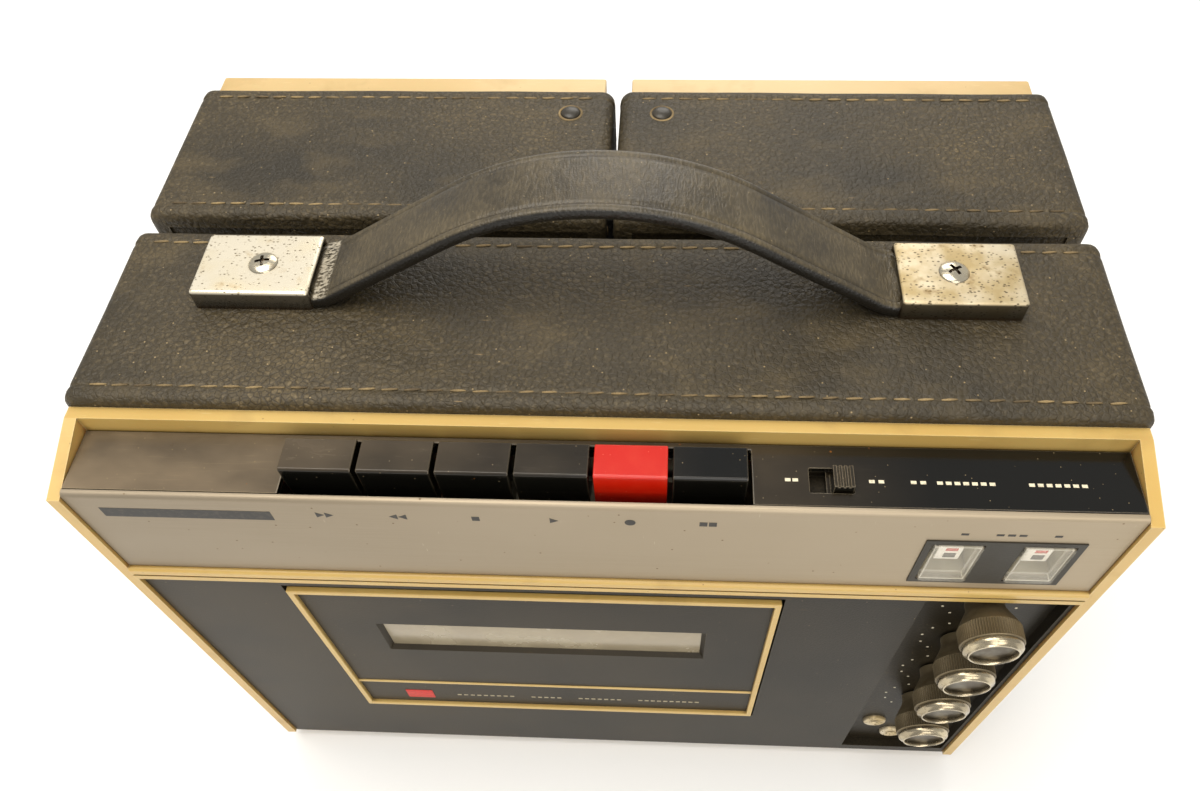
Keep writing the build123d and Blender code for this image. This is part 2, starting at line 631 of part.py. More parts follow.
def speaker_hook(x):
    """Headed stud that a speaker's keyhole hangs on."""
    profile = [(0, 86), (4, 86), (4, 88), (HOOK_R, 88), (HOOK_R, 92), (5, 92), (5, 93.2), (HOOK_R, 93.2),
               (HOOK_R, HOOK_HEAD_D0), (HOOK_HEAD_R, HOOK_HEAD_D0),
               (HOOK_HEAD_R, HOOK_HEAD_D1), (0, HOOK_HEAD_D1)]
    return turned(profile, x, HOOK_Z)


def rubber_foot(x, depth):
    """Round rubber foot, slightly dished in at the rim."""
    foot = rod_z(FOOT_R, 0, CASE_Z0, x, depth)
    return chamfer(foot.edges().group_by(Axis.Z)[0], 1.0)


# ---------------------------------------------------------------- speakers (modelled on the right)
def keyhole(x):
    """Cut-out that drops over a hook: wide below, narrow above."""
    narrow = rod(HOOK_R + 0.4, SPK_FRONT - 1, SPK_FRONT + CASE_WALL + 1, x, HOOK_Z)
    wide = rod(HOOK_HEAD_R + 1, SPK_FRONT - 1, SPK_FRONT + CASE_WALL + 1, x, HOOK_Z - LIFT)
    half = HOOK_R + 0.4
    return narrow + wide + slab(x - half, x + half, SPK_FRONT - 1, SPK_FRONT + CASE_WALL + 1,
                                HOOK_Z - LIFT, HOOK_Z)


def speaker_shell():
    """Wooden speaker box covered in leatherette, open at the back for the baffle."""
    body = slab(SPK_X0, SPK_X1, SPK_FRONT, SPK_BACK, CASE_Z0, CASE_Z1)
    body = fillet(body.edges(), CASE_EDGE_R)
    body -= slab(SPK_X0 + CASE_WALL, SPK_X1 - CASE_WALL, SPK_FRONT + CASE_WALL, SPK_BACK + 1,
                 CASE_Z0 + CASE_WALL, CASE_Z1 - CASE_WALL)
    for x in HOOK_XS:
        body -= keyhole(x)
    return body - rod_z(1.6, CASE_Z1 - CASE_WALL - 1, CASE_Z1 + 1, STUD_X, STUD_DEPTH)


def speaker_frame():
    """Cream frame behind the grille, with the baffle board that carries the driver."""
    x0, x1 = SPK_X0 + SPK_INSET, SPK_X1 - SPK_INSET
    z0, z1 = CASE_Z0 + SPK_INSET, CASE_Z1 - SPK_INSET
    rim = slab(x0, x1, SPK_BACK, SPK_FRAME_BACK, z0, z1)
    rim = chamfer(rim.edges().group_by(Axis.Y)[-1], 3.0)
    rim -= slab(x0 + 10, x1 - 10, SPK_BACK - 1, SPK_FRAME_BACK + 1, z0 + 11, z1 - 11)
    play = CASE_WALL + 0.3
    board = slab(SPK_X0 + play, SPK_X1 - play, SPK_BACK - 4, SPK_BACK + 1.5, CASE_Z0 + play,
                 CASE_Z1 - play)
    body = rim + board
    return body - rod(DRIVER_R - 5, SPK_BACK - 6, SPK_BACK + 3, DRIVER_X, DRIVER_Z)


def speaker_grille():
    """Slotted metal grille set in the frame."""
    x0, x1 = SPK_X0 + SPK_INSET + 10.2, SPK_X1 - SPK_INSET - 10.2
    z0, z1 = CASE_Z0 + SPK_INSET + 11.2, CASE_Z1 - SPK_INSET - 11.2
    body = slab(x0, x1, SPK_FRAME_BACK - 5, SPK_FRAME_BACK - 3.8, z0, z1)
    rows = 34
    pitch = (z1 - z0 - 8) / rows
    middle = (x0 + x1) / 2
    for row in range(rows):
        z = z0 + 4 + row * pitch
        for left, right in ((x0 + 4, middle - 2), (middle + 2, x1 - 4)):
            body -= slab(left, right, SPK_FRAME_BACK - 6, SPK_FRAME_BACK - 3, z + 1, z + pitch - 1.6)
    return body


def speaker_driver():
    """Round driver: rim, paper cone, basket and magnet."""
    rim = SPK_BACK - 4
    profile = [(0, rim - 17), (14, rim - 17), (DRIVER_R - 8, rim - 1.2), (DRIVER_R, rim - 1.2),
               (DRIVER_R, rim - 3), (DRIVER_R - 6, rim - 5), (24, rim - 24),
               (27, rim - 26), (27, rim - 38), (0, rim - 38)]
    return turned(profile, DRIVER_X, DRIVER_Z)


def speaker_stud():
    """Domed rivet in the top of a speaker box."""
    dome = Pos(STUD_X, FACE_Y + STUD_DEPTH, CASE_Z1) * Cone(STUD_R, STUD_CROWN_R, STUD_H, align=SITTING)
    return dome + rod_z(1.5, CASE_Z1 - CASE_WALL, CASE_Z1 + 0.1, STUD_X, STUD_DEPTH)


def speaker_feet():
    """Four rubber feet under a speaker box."""
    return [rubber_foot(x, depth) for x in (22, 128) for depth in (113, 155)]


# ---------------------------------------------------------------- all nodes
def all_nodes():
    """Every sub-part by its node name; a list is a group of like solids."""
    nodes = {
        "cabinet_sleeve": cabinet_sleeve(),
        "front_bezel": front_bezel(),
        "key_deck": key_deck(),
        "silver_panel": silver_panel(),
        "front_panel": front_panel(),
        "door_panel": door_panel(),
        "door_trim": door_trim(),
        "door_window": door_window(),
        "cassette_carrier": cassette_carrier(),
        "key_shaft": key_shaft(),
        "monitor_slider": monitor_slider(),
        "switch_body": switch_body(),
        "meter_plate": meter_plate(),
        "meter_housings": [meter_housing(side) for side in (-1, 1)],
        "meter_dials": [meter_dial(side) for side in (-1, 1)],
        "meter_lenses": [meter_lens(side) for side in (-1, 1)],
        "meter_needle_left": meter_needle(-1),
        "meter_needle_right": meter_needle(1),
        "control_pots": [control_pot(index) for index in range(KNOB_COUNT)],
        "jack_sockets": [jack_socket(x, z) for x, z in JACKS],
        "handle_strap": handle_strap(),
        "handle_cap_right": handle_cap(),
        "handle_cap_left": mirrored(handle_cap()),
        "handle_screws": [handle_screw(), mirrored(handle_screw())],
        "chassis_plate": chassis_plate(),
        "flywheel": flywheel(),
        "reel_spindle_supply": reel_spindle(-1),
        "reel_spindle_takeup": reel_spindle(1),
        "head_plate": head_plate(),
        "tape_heads": tape_heads(),
        "pinch_roller": pinch_roller(),
        "motor": motor(),
        "motor_pulley": motor_pulley(),
        "drive_belt": drive_belt(),
        "circuit_board": circuit_board(),
        "back_cover": back_cover(),
        "speaker_hooks": [speaker_hook(side * x) for side in (-1, 1) for x in HOOK_XS],
        "rubber_feet": [rubber_foot(x, depth) for x in (-128, 128) for depth in (38, 82)],
    }
    for index, name in enumerate(KEY_NAMES):
        nodes["key_" + name] = key(index)
    for index in range(KNOB_COUNT):
        nodes[f"knob_{index + 1}"] = knob(index)
    right = {
        "speaker_shell": [speaker_shell()],
        "speaker_frame": [speaker_frame()],
        "speaker_grille": [speaker_grille()],
        "speaker_driver": [speaker_driver()],
        "speaker_stud": [speaker_stud()],
        "speaker_feet": speaker_feet(),
    }
    for name, solids in right.items():
        nodes[name + "_right"] = solids
        nodes[name + "_left"] = [mirrored(solid) for solid in solids]
    return nodes


def main():
    """Write one STEP file for each node."""
    os.makedirs("parts", exist_ok=True)
    for name, shape in all_nodes().items():
        solids = shape if isinstance(shape, list) else [shape]
        group = Compound(children=[solid for item in solids for solid in item.solids()])
        export_step(group, f"parts/{name}.step")


main()
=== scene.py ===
"""Visual model of a portable stereo cassette recorder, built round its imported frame.

Each sub-assembly is a class with its sizes as fields and a build method; each finish is a small
frozen class. Lengths are metres, in the frame's own axes: +X right, -Y front, +Z up.
"""

import json
import logging
import math
import random
from collections.abc import Iterable, Sequence
from dataclasses import dataclass, field
from enum import Enum

import bmesh
import bpy
from mathutils import Matrix, Vector, noise

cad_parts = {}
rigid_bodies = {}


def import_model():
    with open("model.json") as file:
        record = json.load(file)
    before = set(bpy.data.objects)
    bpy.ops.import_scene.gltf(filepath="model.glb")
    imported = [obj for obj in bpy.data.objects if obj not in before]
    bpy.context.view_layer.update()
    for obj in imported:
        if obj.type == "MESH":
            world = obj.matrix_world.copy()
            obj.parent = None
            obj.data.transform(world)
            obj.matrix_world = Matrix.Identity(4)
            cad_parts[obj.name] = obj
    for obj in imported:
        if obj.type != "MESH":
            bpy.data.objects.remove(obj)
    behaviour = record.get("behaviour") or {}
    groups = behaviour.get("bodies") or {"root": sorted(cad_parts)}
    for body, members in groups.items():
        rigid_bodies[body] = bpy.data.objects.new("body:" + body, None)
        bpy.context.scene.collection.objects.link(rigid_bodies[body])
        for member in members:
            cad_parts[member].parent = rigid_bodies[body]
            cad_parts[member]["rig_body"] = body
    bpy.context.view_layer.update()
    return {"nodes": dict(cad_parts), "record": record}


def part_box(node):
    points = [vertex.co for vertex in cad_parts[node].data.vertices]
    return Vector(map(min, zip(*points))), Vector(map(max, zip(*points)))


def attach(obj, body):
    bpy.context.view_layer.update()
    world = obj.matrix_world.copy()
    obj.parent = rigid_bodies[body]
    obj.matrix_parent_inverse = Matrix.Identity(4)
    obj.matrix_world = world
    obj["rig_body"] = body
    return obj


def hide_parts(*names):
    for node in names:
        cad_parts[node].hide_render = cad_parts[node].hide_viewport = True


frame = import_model()

MM = 0.001
FACE_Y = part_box("front_bezel")[0].y + 0.6 * MM   # the rail stands 0.6 mm proud of the bezel face
STRIP_Y = FACE_Y + 5.2 * MM   # floor of the sunk strip that the knobs and sockets stand on
MERGE = 2e-6   # points nearer than this are one point
SIDEWAYS, BACKWARD, UPWARD = Vector((1, 0, 0)), Vector((0, 1, 0)), Vector((0, 0, 1))
UPRIGHT = Matrix.Rotation(math.radians(90), 4, "X")   # stands a flat shape up to face the front
log = logging.getLogger("recorder")

Socket = bpy.types.NodeSocket
Colour = tuple[float, float, float, float]


class Slot(Enum):
    """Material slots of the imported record."""

    LEATHERETTE = "leatherette"
    CREAM = "cream_plastic"
    PALE_CREAM = "pale_cream_plastic"
    DECK = "deck_black"
    PANEL = "panel_black"
    KEY = "key_black"
    KEY_RED = "key_red"
    FASCIA = "fascia_aluminium"
    CHROME = "chrome_plate"
    SCREW = "screw_steel"
    CLEAR = "clear_plastic"
    PANE = "window_grey"
    DIAL = "dial_white"
    NEEDLE = "needle_black"
    KNOB = "knob_metal"
    STRAP = "strap_leather"
    ZINC = "zinc_steel"
    TURNED = "turned_steel"
    RUBBER = "rubber_black"
    BOARD = "board_resin"
    NYLON = "mechanism_plastic"
    GRILLE = "grille_paint"
    CONE = "cone_paper"
    RIVET = "rivet_dark"


class Pattern(Enum):
    """Procedural textures: node kind and its settings."""

    CLOUD = ("ShaderNodeTexNoise", {})
    PEBBLE = ("ShaderNodeTexVoronoi", {"feature": "SMOOTH_F1"})
    SPOTS = ("ShaderNodeTexVoronoi", {"feature": "F1"})
    CREASES = ("ShaderNodeTexVoronoi", {"feature": "DISTANCE_TO_EDGE"})


def linear(code: str) -> Colour:
    """Turn an sRGB hex colour to linear red, green, blue and alpha.

    Args:
        code: Six hex digits after a hash sign.

    Returns:
        The linear colour with alpha 1.
    """
    parts = [int(code[i:i + 2], 16) / 255 for i in (1, 3, 5)]
    red, green, blue = (c / 12.92 if c <= 0.04045 else ((c + 0.055) / 1.055) ** 2.4 for c in parts)
    return (red, green, blue, 1.0)


class Surface:
    """A material under construction: its tree, its coordinates and its shader."""

    def __init__(self, name: str) -> None:
        """Start an empty material with one principled shader.

        Args:
            name: The material's name.
        """
        self.material = bpy.data.materials.new(name)
        self.material.use_nodes = True
        self.tree = self.material.node_tree
        self.tree.nodes.clear()
        self.shader = self.add("ShaderNodeBsdfPrincipled")
        self.add("ShaderNodeOutputMaterial", inputs={"Surface": self.shader.outputs["BSDF"]})
        self.place = self.add("ShaderNodeTexCoord").outputs["Object"]

    def add(self, kind: str, settings: dict | None = None, inputs: dict | None = None) -> bpy.types.Node:
        """Add one node with its settings and links.

        Args:
            kind: The node's type.
            settings: Properties of the node.
            inputs: Values or sockets, by input name or number.

        Returns:
            The new node.
        """
        made = self.tree.nodes.new(kind)
        for name, value in (settings or {}).items():
            setattr(made, name, value)
        for key, value in (inputs or {}).items():
            if isinstance(value, Socket):
                self.tree.links.new(value, made.inputs[key])
            else:
                made.inputs[key].default_value = value
        return made

    def span(self, value: Socket, low: float, high: float, amount: float = 1.0) -> Socket:
        """Spread a value between two limits over 0 to amount.

        Args:
            value: What is spread.
            low: The value that gives 0.
            high: The value that gives amount.
            amount: The most that comes out.

        Returns:
            The clamped result.
        """
        inputs = {"Value": value, "From Min": low, "From Max": high, "To Max": amount}
        return self.add("ShaderNodeMapRange", inputs=inputs).outputs["Result"]

    def mask(self, pattern: Pattern, size: float, low: float, high: float, amount: float = 1.0,
             stretch: Sequence[float] = (1, 1, 1), detail: float = 3.0) -> Socket:
        """A mask from a texture of a real size.

        Args:
            pattern: Which texture.
            size: Size of its features in millimetres.
            low: Texture value that gives 0.
            high: Texture value that gives amount.
            amount: The most that comes out.
            stretch: How many times longer the features are along X, Y and Z.
            detail: Octaves of finer detail.

        Returns:
            The mask.
        """
        kind, settings = pattern.value
        scale = [1 / (MM * size * factor) for factor in stretch]
        spot = self.add("ShaderNodeMapping", inputs={"Vector": self.place, "Scale": scale})
        inputs = {"Vector": spot.outputs["Vector"], "Scale": 1.0, "Detail": detail}
        texture = self.add(kind, settings, inputs)
        return self.span(texture.outputs[0], low, high, amount)

    def edges(self, radius: float, amount: float = 1.0) -> Socket:
        """A mask along edges: edge wear on leather, a painted highlight on hard plastic, metal and the clear
        cover.

        Args:
            radius: Width of the edge line in millimetres.
            amount: The most that comes out.

        Returns:
            The mask.
        """
        soft = self.add("ShaderNodeBevel", {"samples": 4}, {"Radius": radius * MM})
        true = self.add("ShaderNodeNewGeometry")
        both = {0: soft.outputs["Normal"], 1: true.outputs["Normal"]}
        dot = self.add("ShaderNodeVectorMath", {"operation": "DOT_PRODUCT"}, both)
        return self.span(dot.outputs["Value"], 0.99, 0.82, amount)

    def corners(self, reach: float, low: float = 0.85, high: float = 0.35, amount: float = 1.0) -> Socket:
        """A mask in sheltered places, for painted shade.

        Args:
            reach: How far off a neighbour shelters, in millimetres.
            low: Openness that gives 0.
            high: Openness that gives amount.
            amount: The most that comes out.

        Returns:
            The mask.
        """
        # ambient occlusion: where little open sky is seen the colour is darkened, which paints shade
        open_sky = self.add("ShaderNodeAmbientOcclusion", {"samples": 4}, {"Distance": reach * MM})
        return self.span(open_sky.outputs["AO"], low, high, amount)

    def along(self, axis: str, low: float, high: float, amount: float = 1.0) -> Socket:
        """A mask that grows along an axis, from 0 at low to amount at high, both in millimetres."""
        spot = self.add("ShaderNodeSeparateXYZ", inputs={0: self.place})
        return self.span(spot.outputs[axis], low * MM, high * MM, amount)

    def facing_up(self, low: float, high: float) -> Socket:
        """A mask of faces whose normal's upward part goes from low to high."""
        normal = self.add("ShaderNodeNewGeometry").outputs["Normal"]
        return self.span(self.add("ShaderNodeSeparateXYZ", inputs={0: normal}).outputs["Z"], low, high)

    def times(self, first: Socket, second: Socket) -> Socket:
        """Where both masks are."""
        return self.add("ShaderNodeMath", {"operation": "MULTIPLY"}, {0: first, 1: second}).outputs[0]

    def feed(self, name: str, value: Socket | float | Colour) -> None:
        """Give the shader a socket or a value.

        Args:
            name: The shader's input.
            value: What it gets.
        """
        if isinstance(value, Socket):
            self.tree.links.new(value, self.shader.inputs[name])
        else:
            self.shader.inputs[name].default_value = value

    def paint(self, base: str, *layers: tuple[Socket, str]) -> None:
        """Colour the shader with a base and layers over it.

        Args:
            base: Hex colour under everything.
            layers: Masks and the hex colours that they bring.
        """
        colour: Colour | Socket = linear(base)
        for mask, tone in layers:
            inputs = {0: mask, 6: colour, 7: linear(tone)}
            colour = self.add("ShaderNodeMix", {"data_type": "RGBA"}, inputs).outputs[2]
        self.feed("Base Color", colour)

    def gloss(self, base: float, *layers: tuple[Socket, float]) -> None:
        """Set the roughness with a base and layers over it.

        Args:
            base: Roughness under everything.
            layers: Masks and the roughness that they bring.
        """
        level: float | Socket = base
        for mask, rough in layers:
            level = self.blend(mask, level, rough)
        self.feed("Roughness", level)

    def blend(self, mask: Socket, low: Socket | float, high: float) -> Socket:
        """A value that goes from low to high with a mask."""
        return self.add("ShaderNodeMix", {"data_type": "FLOAT"}, {0: mask, 2: low, 3: high}).outputs[0]

    def relief(self, *heights: tuple[Socket, float]) -> None:
        """Bump the surface.

        Args:
            heights: Masks and the height in millimetres of what they raise; a cut is negative.
        """
        normal: Socket | None = None
        for height, rise in heights:
            inputs = {"Height": height, "Distance": abs(rise) * MM}
            if normal is not None:
                inputs["Normal"] = normal
            settings = {"invert": rise < 0}
            normal = self.add("ShaderNodeBump", settings, inputs).outputs["Normal"]
        self.feed("Normal", normal)

    def fix(self, **values: float) -> bpy.types.Material:
        """Set values that are the same all over, by socket name with _ for a space.

        Args:
            values: Socket values.

        Returns:
            The finished material.
        """
        for name, value in values.items():
            self.shader.inputs[name.replace("_", " ")].default_value = value
        return self.material


# ---------------------------------------------------------------- finishes
@dataclass(frozen=True)
class Leatherette:
    """Vinyl-coated cloth, embossed as pebbled leather and glued round the wood.

    The emboss gives small soft domes that catch the light one by one; handling has left tan dust
    in the valleys and a paler rub on the rolled edges. Painted shade darkens the sheltered corners.
    """

    slot: Slot = Slot.LEATHERETTE
    base: str = "#282214"
    grain: float = 1.5

    def make(self) -> bpy.types.Material:
        """Mix the material.

        Returns:
            The material.
        """
        s = Surface("leatherette_embossed_vinyl")
        pebble = s.mask(Pattern.PEBBLE, self.grain, 0.62, 0.12, detail=0)
        pores = s.mask(Pattern.CREASES, self.grain * 1.2, 0.16, 0.0, detail=0)
        fine = s.mask(Pattern.CLOUD, 0.5, 0.35, 0.7)
        haze = s.mask(Pattern.CLOUD, 60, 0.34, 0.72, 0.75, detail=5)
        rub = s.mask(Pattern.CLOUD, 11, 0.52, 0.78, 0.45, (1.7, 1, 1), 6)
        dust = s.mask(Pattern.CLOUD, 1.6, 0.52, 0.68, 0.6, detail=5)
        specks = s.mask(Pattern.SPOTS, 3.8, 0.085, 0.04, 0.75, detail=0)
        hairs = s.mask(Pattern.SPOTS, 9, 0.05, 0.02, 0.6, (3.5, 0.4, 1), 0)
        worn = s.edges(2.6, 0.5)
        # painted shade: the last layer darkens the sheltered corners nearly to black
        s.paint(self.base, (haze, "#4f432a"), (rub, "#615337"), (s.times(dust, haze), "#857453"),
                (s.times(pores, haze), "#231d12"), (worn, "#655940"), (specks, "#a8926a"), (hairs, "#9a8158"),
                (s.corners(5, 0.7, 0.2, 0.8), "#0d0a06"))
        s.gloss(0.5, (haze, 0.6), (rub, 0.68))
        s.relief((pebble, 0.22), (pores, -0.1), (fine, 0.05))
        return s.fix(Specular_IOR_Level=0.42)


@dataclass(frozen=True)
class Moulding:
    """High-impact polystyrene, injection moulded and yellowed by light.

    A satin skin with faint cloudiness; painted shade darkens the corners and a painted highlight
    lightens the edges.
    """

    slot: Slot
    base: str
    deep: str
    light: str

    def make(self) -> bpy.types.Material:
        """Mix the material.

        Returns:
            The material.
        """
        s = Surface(self.slot.value + "_yellowed_polystyrene")
        cloud = s.mask(Pattern.CLOUD, 55, 0.36, 0.7, 0.7)
        stain = s.mask(Pattern.CLOUD, 14, 0.55, 0.82, 0.45, detail=6)
        scratch = s.mask(Pattern.CLOUD, 0.5, 0.66, 0.76, 0.2, (14, 1, 1), 2)
        specks = s.mask(Pattern.SPOTS, 5.5, 0.05, 0.025, 0.7, detail=0)
        # painted shade: the brown corner layer; painted highlight: the pale edge layer
        s.paint(self.base, (cloud, self.light), (stain, self.deep), (scratch, "#ecd8a6"),
                (specks, "#6d5326"), (s.corners(2.2, 0.82, 0.4, 0.8), "#55401a"),
                (s.edges(0.5, 0.3), "#f3e2b0"))
        s.gloss(0.36, (stain, 0.55), (scratch, 0.5))
        s.relief((s.mask(Pattern.CLOUD, 1.2, 0.3, 0.7), 0.012), (scratch, 0.01))
        return s.fix(IOR=1.55, Subsurface_Weight=0.04)


@dataclass(frozen=True)
class GlossBlack:
    """Black styrene-acrylonitrile from a polished tool, as on keys and deck.

    Mirror-like where clean, with long wiping strokes and pale dust. A painted reflection lightens
    the upward faces towards the left; painted shade darkens the corners and a painted highlight
    brightens the crisp edges.
    """

    slot: Slot
    base: str = "#0b0a07"
    # strength of the painted reflection on the upward faces
    reflection_amount: float = 0.9
    stroke: float = 14.0
    fade: tuple[float, float] = (90, -150)

    def make(self) -> bpy.types.Material:
        """Mix the material.

        Returns:
            The material.
        """
        s = Surface(self.slot.value + "_gloss_styrene")
        cloud = s.mask(Pattern.CLOUD, 24, 0.12, 0.66, 1, (1.6, 1, 1), 4)
        # painted reflection: a pale cloud on the upward faces, stronger towards the left
        lit_tops = s.times(s.along("X", *self.fade, self.reflection_amount), s.facing_up(0.3, 0.85))
        haze = s.times(cloud, lit_tops)
        strokes = s.mask(Pattern.CLOUD, 0.8, 0.6, 0.8, 0.25, (self.stroke, 1, 1), 3)
        dust = s.mask(Pattern.SPOTS, 2.6, 0.075, 0.03, 0.8, detail=0)
        rust = s.mask(Pattern.SPOTS, 7.5, 0.055, 0.02, 0.9, detail=0)
        # haze, with the strokes seen in it, is a painted reflection; the corner layer is painted shade and
        # the edge layer a painted highlight
        s.paint(self.base, (haze, "#74644d"), (s.times(strokes, haze), "#93815f"), (dust, "#8c7a58"),
                (rust, "#7a4a1c"), (s.corners(2.5, 0.75, 0.25, 0.6), "#1c160c"),
                (s.edges(0.4, 0.8), "#9c8e74"))
        s.gloss(0.17, (haze, 0.42), (strokes, 0.5), (dust, 0.8))
        s.relief((s.mask(Pattern.CLOUD, 6, 0.3, 0.7), 0.02), (strokes, 0.004))
        return s.fix(Specular_IOR_Level=0.4)


@dataclass(frozen=True)
class RedKey:
    """Red styrene from the same polished tool as the black keys: saturated, even and glossy, with painted
    shade in the corners and a painted highlight on the edges.
    """

    slot: Slot = Slot.KEY_RED

    def make(self) -> bpy.types.Material:
        """Mix the material.

        Returns:
            The material.
        """
        s = Surface("red_gloss_styrene")
        haze = s.mask(Pattern.CLOUD, 7, 0.45, 0.75, 0.35, detail=5)
        dust = s.mask(Pattern.SPOTS, 2.2, 0.07, 0.03, 0.5, detail=0)
        # painted shade: the dark red corner layer; painted highlight: the pale edge layer
        s.paint("#bb1805", (haze, "#cc3416"), (dust, "#e09a7c"), (s.corners(2, 0.7, 0.3, 0.6), "#5c0d04"),
                (s.edges(0.35, 0.3), "#f57d5e"))
        s.gloss(0.22, (haze, 0.36))
        s.relief((s.mask(Pattern.CLOUD, 5, 0.3, 0.7), 0.015))
        return s.fix(IOR=1.56, Subsurface_Weight=0.05)


@dataclass(frozen=True)
class SatinPanel:
    """Dark olive-brown ABS with a spark-eroded satin skin, as on the front panel and door.

    An even low sheen with a very fine grain, a few pale scuffs and dust. A painted sheen lightens
    it towards the left; painted shade darkens the corners and a painted highlight the edges.
    """

    slot: Slot
    base: str = "#1c180f"

    def make(self) -> bpy.types.Material:
        """Mix the material.

        Returns:
            The material.
        """
        s = Surface(self.slot.value + "_satin_abs")
        cloud = s.mask(Pattern.CLOUD, 60, 0.3, 0.72, 1)
        # painted sheen: a pale cloud that grows towards the left
        haze = s.times(cloud, s.along("X", 80, -150, 0.9))
        grain = s.mask(Pattern.CLOUD, 0.6, 0.35, 0.65)
        scuff = s.mask(Pattern.CLOUD, 2.5, 0.66, 0.8, 0.35, (3, 1, 1), 5)
        dust = s.mask(Pattern.SPOTS, 4.2, 0.05, 0.02, 0.7, detail=0)
        # haze is a painted sheen; the corner layer is painted shade and the edge layer a painted highlight
        s.paint(self.base, (haze, "#51483a"), (s.times(grain, cloud), "#332c20"), (scuff, "#57492f"),
                (dust, "#a7956f"), (s.corners(4, 0.7, 0.2, 0.7), "#100d07"), (s.edges(0.3, 0.25), "#6d6149"))
        s.gloss(0.4, (haze, 0.48), (scuff, 0.52))
        s.relief((grain, 0.02))
        return s.fix(Specular_IOR_Level=0.16)


@dataclass(frozen=True)
class BrushedAluminium:
    """Aluminium sheet, brushed lengthwise and clear lacquered.

    Fine unbroken lines along X stretch every highlight; rust-coloured dots of grime sit on the roll.
    A painted reflection lightens the sheet towards the right and painted shade darkens its corners.
    """

    slot: Slot = Slot.FASCIA

    def make(self) -> bpy.types.Material:
        """Mix the material.

        Returns:
            The material.
        """
        s = Surface("fascia_brushed_aluminium")
        lines = s.mask(Pattern.CLOUD, 0.16, 0.3, 0.7, 1, (160, 1, 1), 2)
        cloud = s.mask(Pattern.CLOUD, 70, 0.4, 0.68, 0.6, (2, 1, 1))
        spots = s.mask(Pattern.SPOTS, 5.2, 0.075, 0.03, 0.85, detail=0)
        scratch = s.mask(Pattern.SPOTS, 11, 0.04, 0.015, 0.6, (0.25, 1, 2.6), 0)
        # painted reflection: the first layer lightens the sheet towards the right; the corner layer is
        # painted shade
        s.paint("#8f8370", (s.along("X", -150, 130, 0.8), "#ab9c83"), (s.times(lines, cloud), "#b0a390"),
                (spots, "#6f5638"), (scratch, "#c9bda6"), (s.corners(1.5, 0.8, 0.35, 0.6), "#4a3c26"))
        s.gloss(0.44, (lines, 0.56), (spots, 0.8))
        s.relief((lines, 0.006))
        return s.fix(Metallic=0.72)


@dataclass(frozen=True)
class PittedChrome:
    """Chrome plate on pressed steel, pitted through.

    Bright and creamy, speckled with dark pits and brown rust; a tan film lies over what is far on the
    right. Painted shade darkens the hollows round the holes, a painted dark reflection the upright
    sides of the caps, and a painted highlight the edges.
    """

    slot: Slot
    base: str = "#e9e2d0"
    pits: float = 0.85
    rust: float = 0.6
    # how dark the painted reflection makes the upright sides of the caps
    dark_side_reflection: float = 0.9
    metal: float = 0.9
    film: float = 0.0

    def make(self) -> bpy.types.Material:
        """Mix the material.

        Returns:
            The material.
        """
        s = Surface(self.slot.value + "_pitted_plate")
        cloud = s.mask(Pattern.CLOUD, 9, 0.42, 0.7, 0.7, detail=5)
        pits = s.mask(Pattern.SPOTS, 0.95, 0.36, 0.2, self.pits, (1.5, 1, 1), 0)
        gate = s.mask(Pattern.CLOUD, 2.2, 0.42, 0.54, detail=4)
        stain = s.mask(Pattern.CLOUD, 4.5, 0.6, 0.74, self.rust, detail=6)
        held = s.times(pits, gate)
        # upright faces above 222 mm get a painted dark reflection
        upright = s.facing_up(0.75, 0.25)
        film = s.times(s.mask(Pattern.CLOUD, 12, 0.25, 0.62, self.film, detail=5), s.along("X", 70, 76))
        # the last three layers are a painted dark reflection on the cap sides, painted shade round the screws
        # and a painted highlight on the edges
        s.paint(self.base, (cloud, "#e6d8b6"), (film, "#ab9462"), (held, "#4a3d28"), (stain, "#7f6230"),
                (s.times(upright, s.along("Z", 222, 223, self.dark_side_reflection)), "#2c2517"),
                (s.corners(1.6, 0.8, 0.35, 0.8), "#4a3315"), (s.edges(0.4, 0.3), "#fffaf0"))
        s.gloss(0.2, (cloud, 0.34), (film, 0.55), (held, 0.8), (stain, 0.75))
        s.relief((held, -0.03), (cloud, 0.01))
        return s.fix(Metallic=self.metal)


@dataclass(frozen=True)
class KnobMetal:
    """Turned aluminium, finely knurled, with painted shade in the knurl and a painted highlight on the edges.
    """

    slot: Slot = Slot.KNOB

    def make(self) -> bpy.types.Material:
        """Mix the material.

        Returns:
            The material.
        """
        s = Surface("knob_knurled_aluminium")
        cloud = s.mask(Pattern.CLOUD, 6, 0.4, 0.7, 0.8, detail=5)
        # painted shade: the knurl and other sheltered places go nearly black; the edge layer is a painted
        # highlight
        knurl_shade = s.corners(1.0, 0.9, 0.4, 0.9)
        s.paint("#7a6d54", (cloud, "#5c5038"), (knurl_shade, "#1d190f"), (s.edges(0.25, 0.5), "#b7a98a"))
        s.gloss(0.46, (cloud, 0.62))
        s.relief((s.mask(Pattern.CLOUD, 0.4, 0.3, 0.7), 0.012))
        return s.fix(Metallic=0.6)


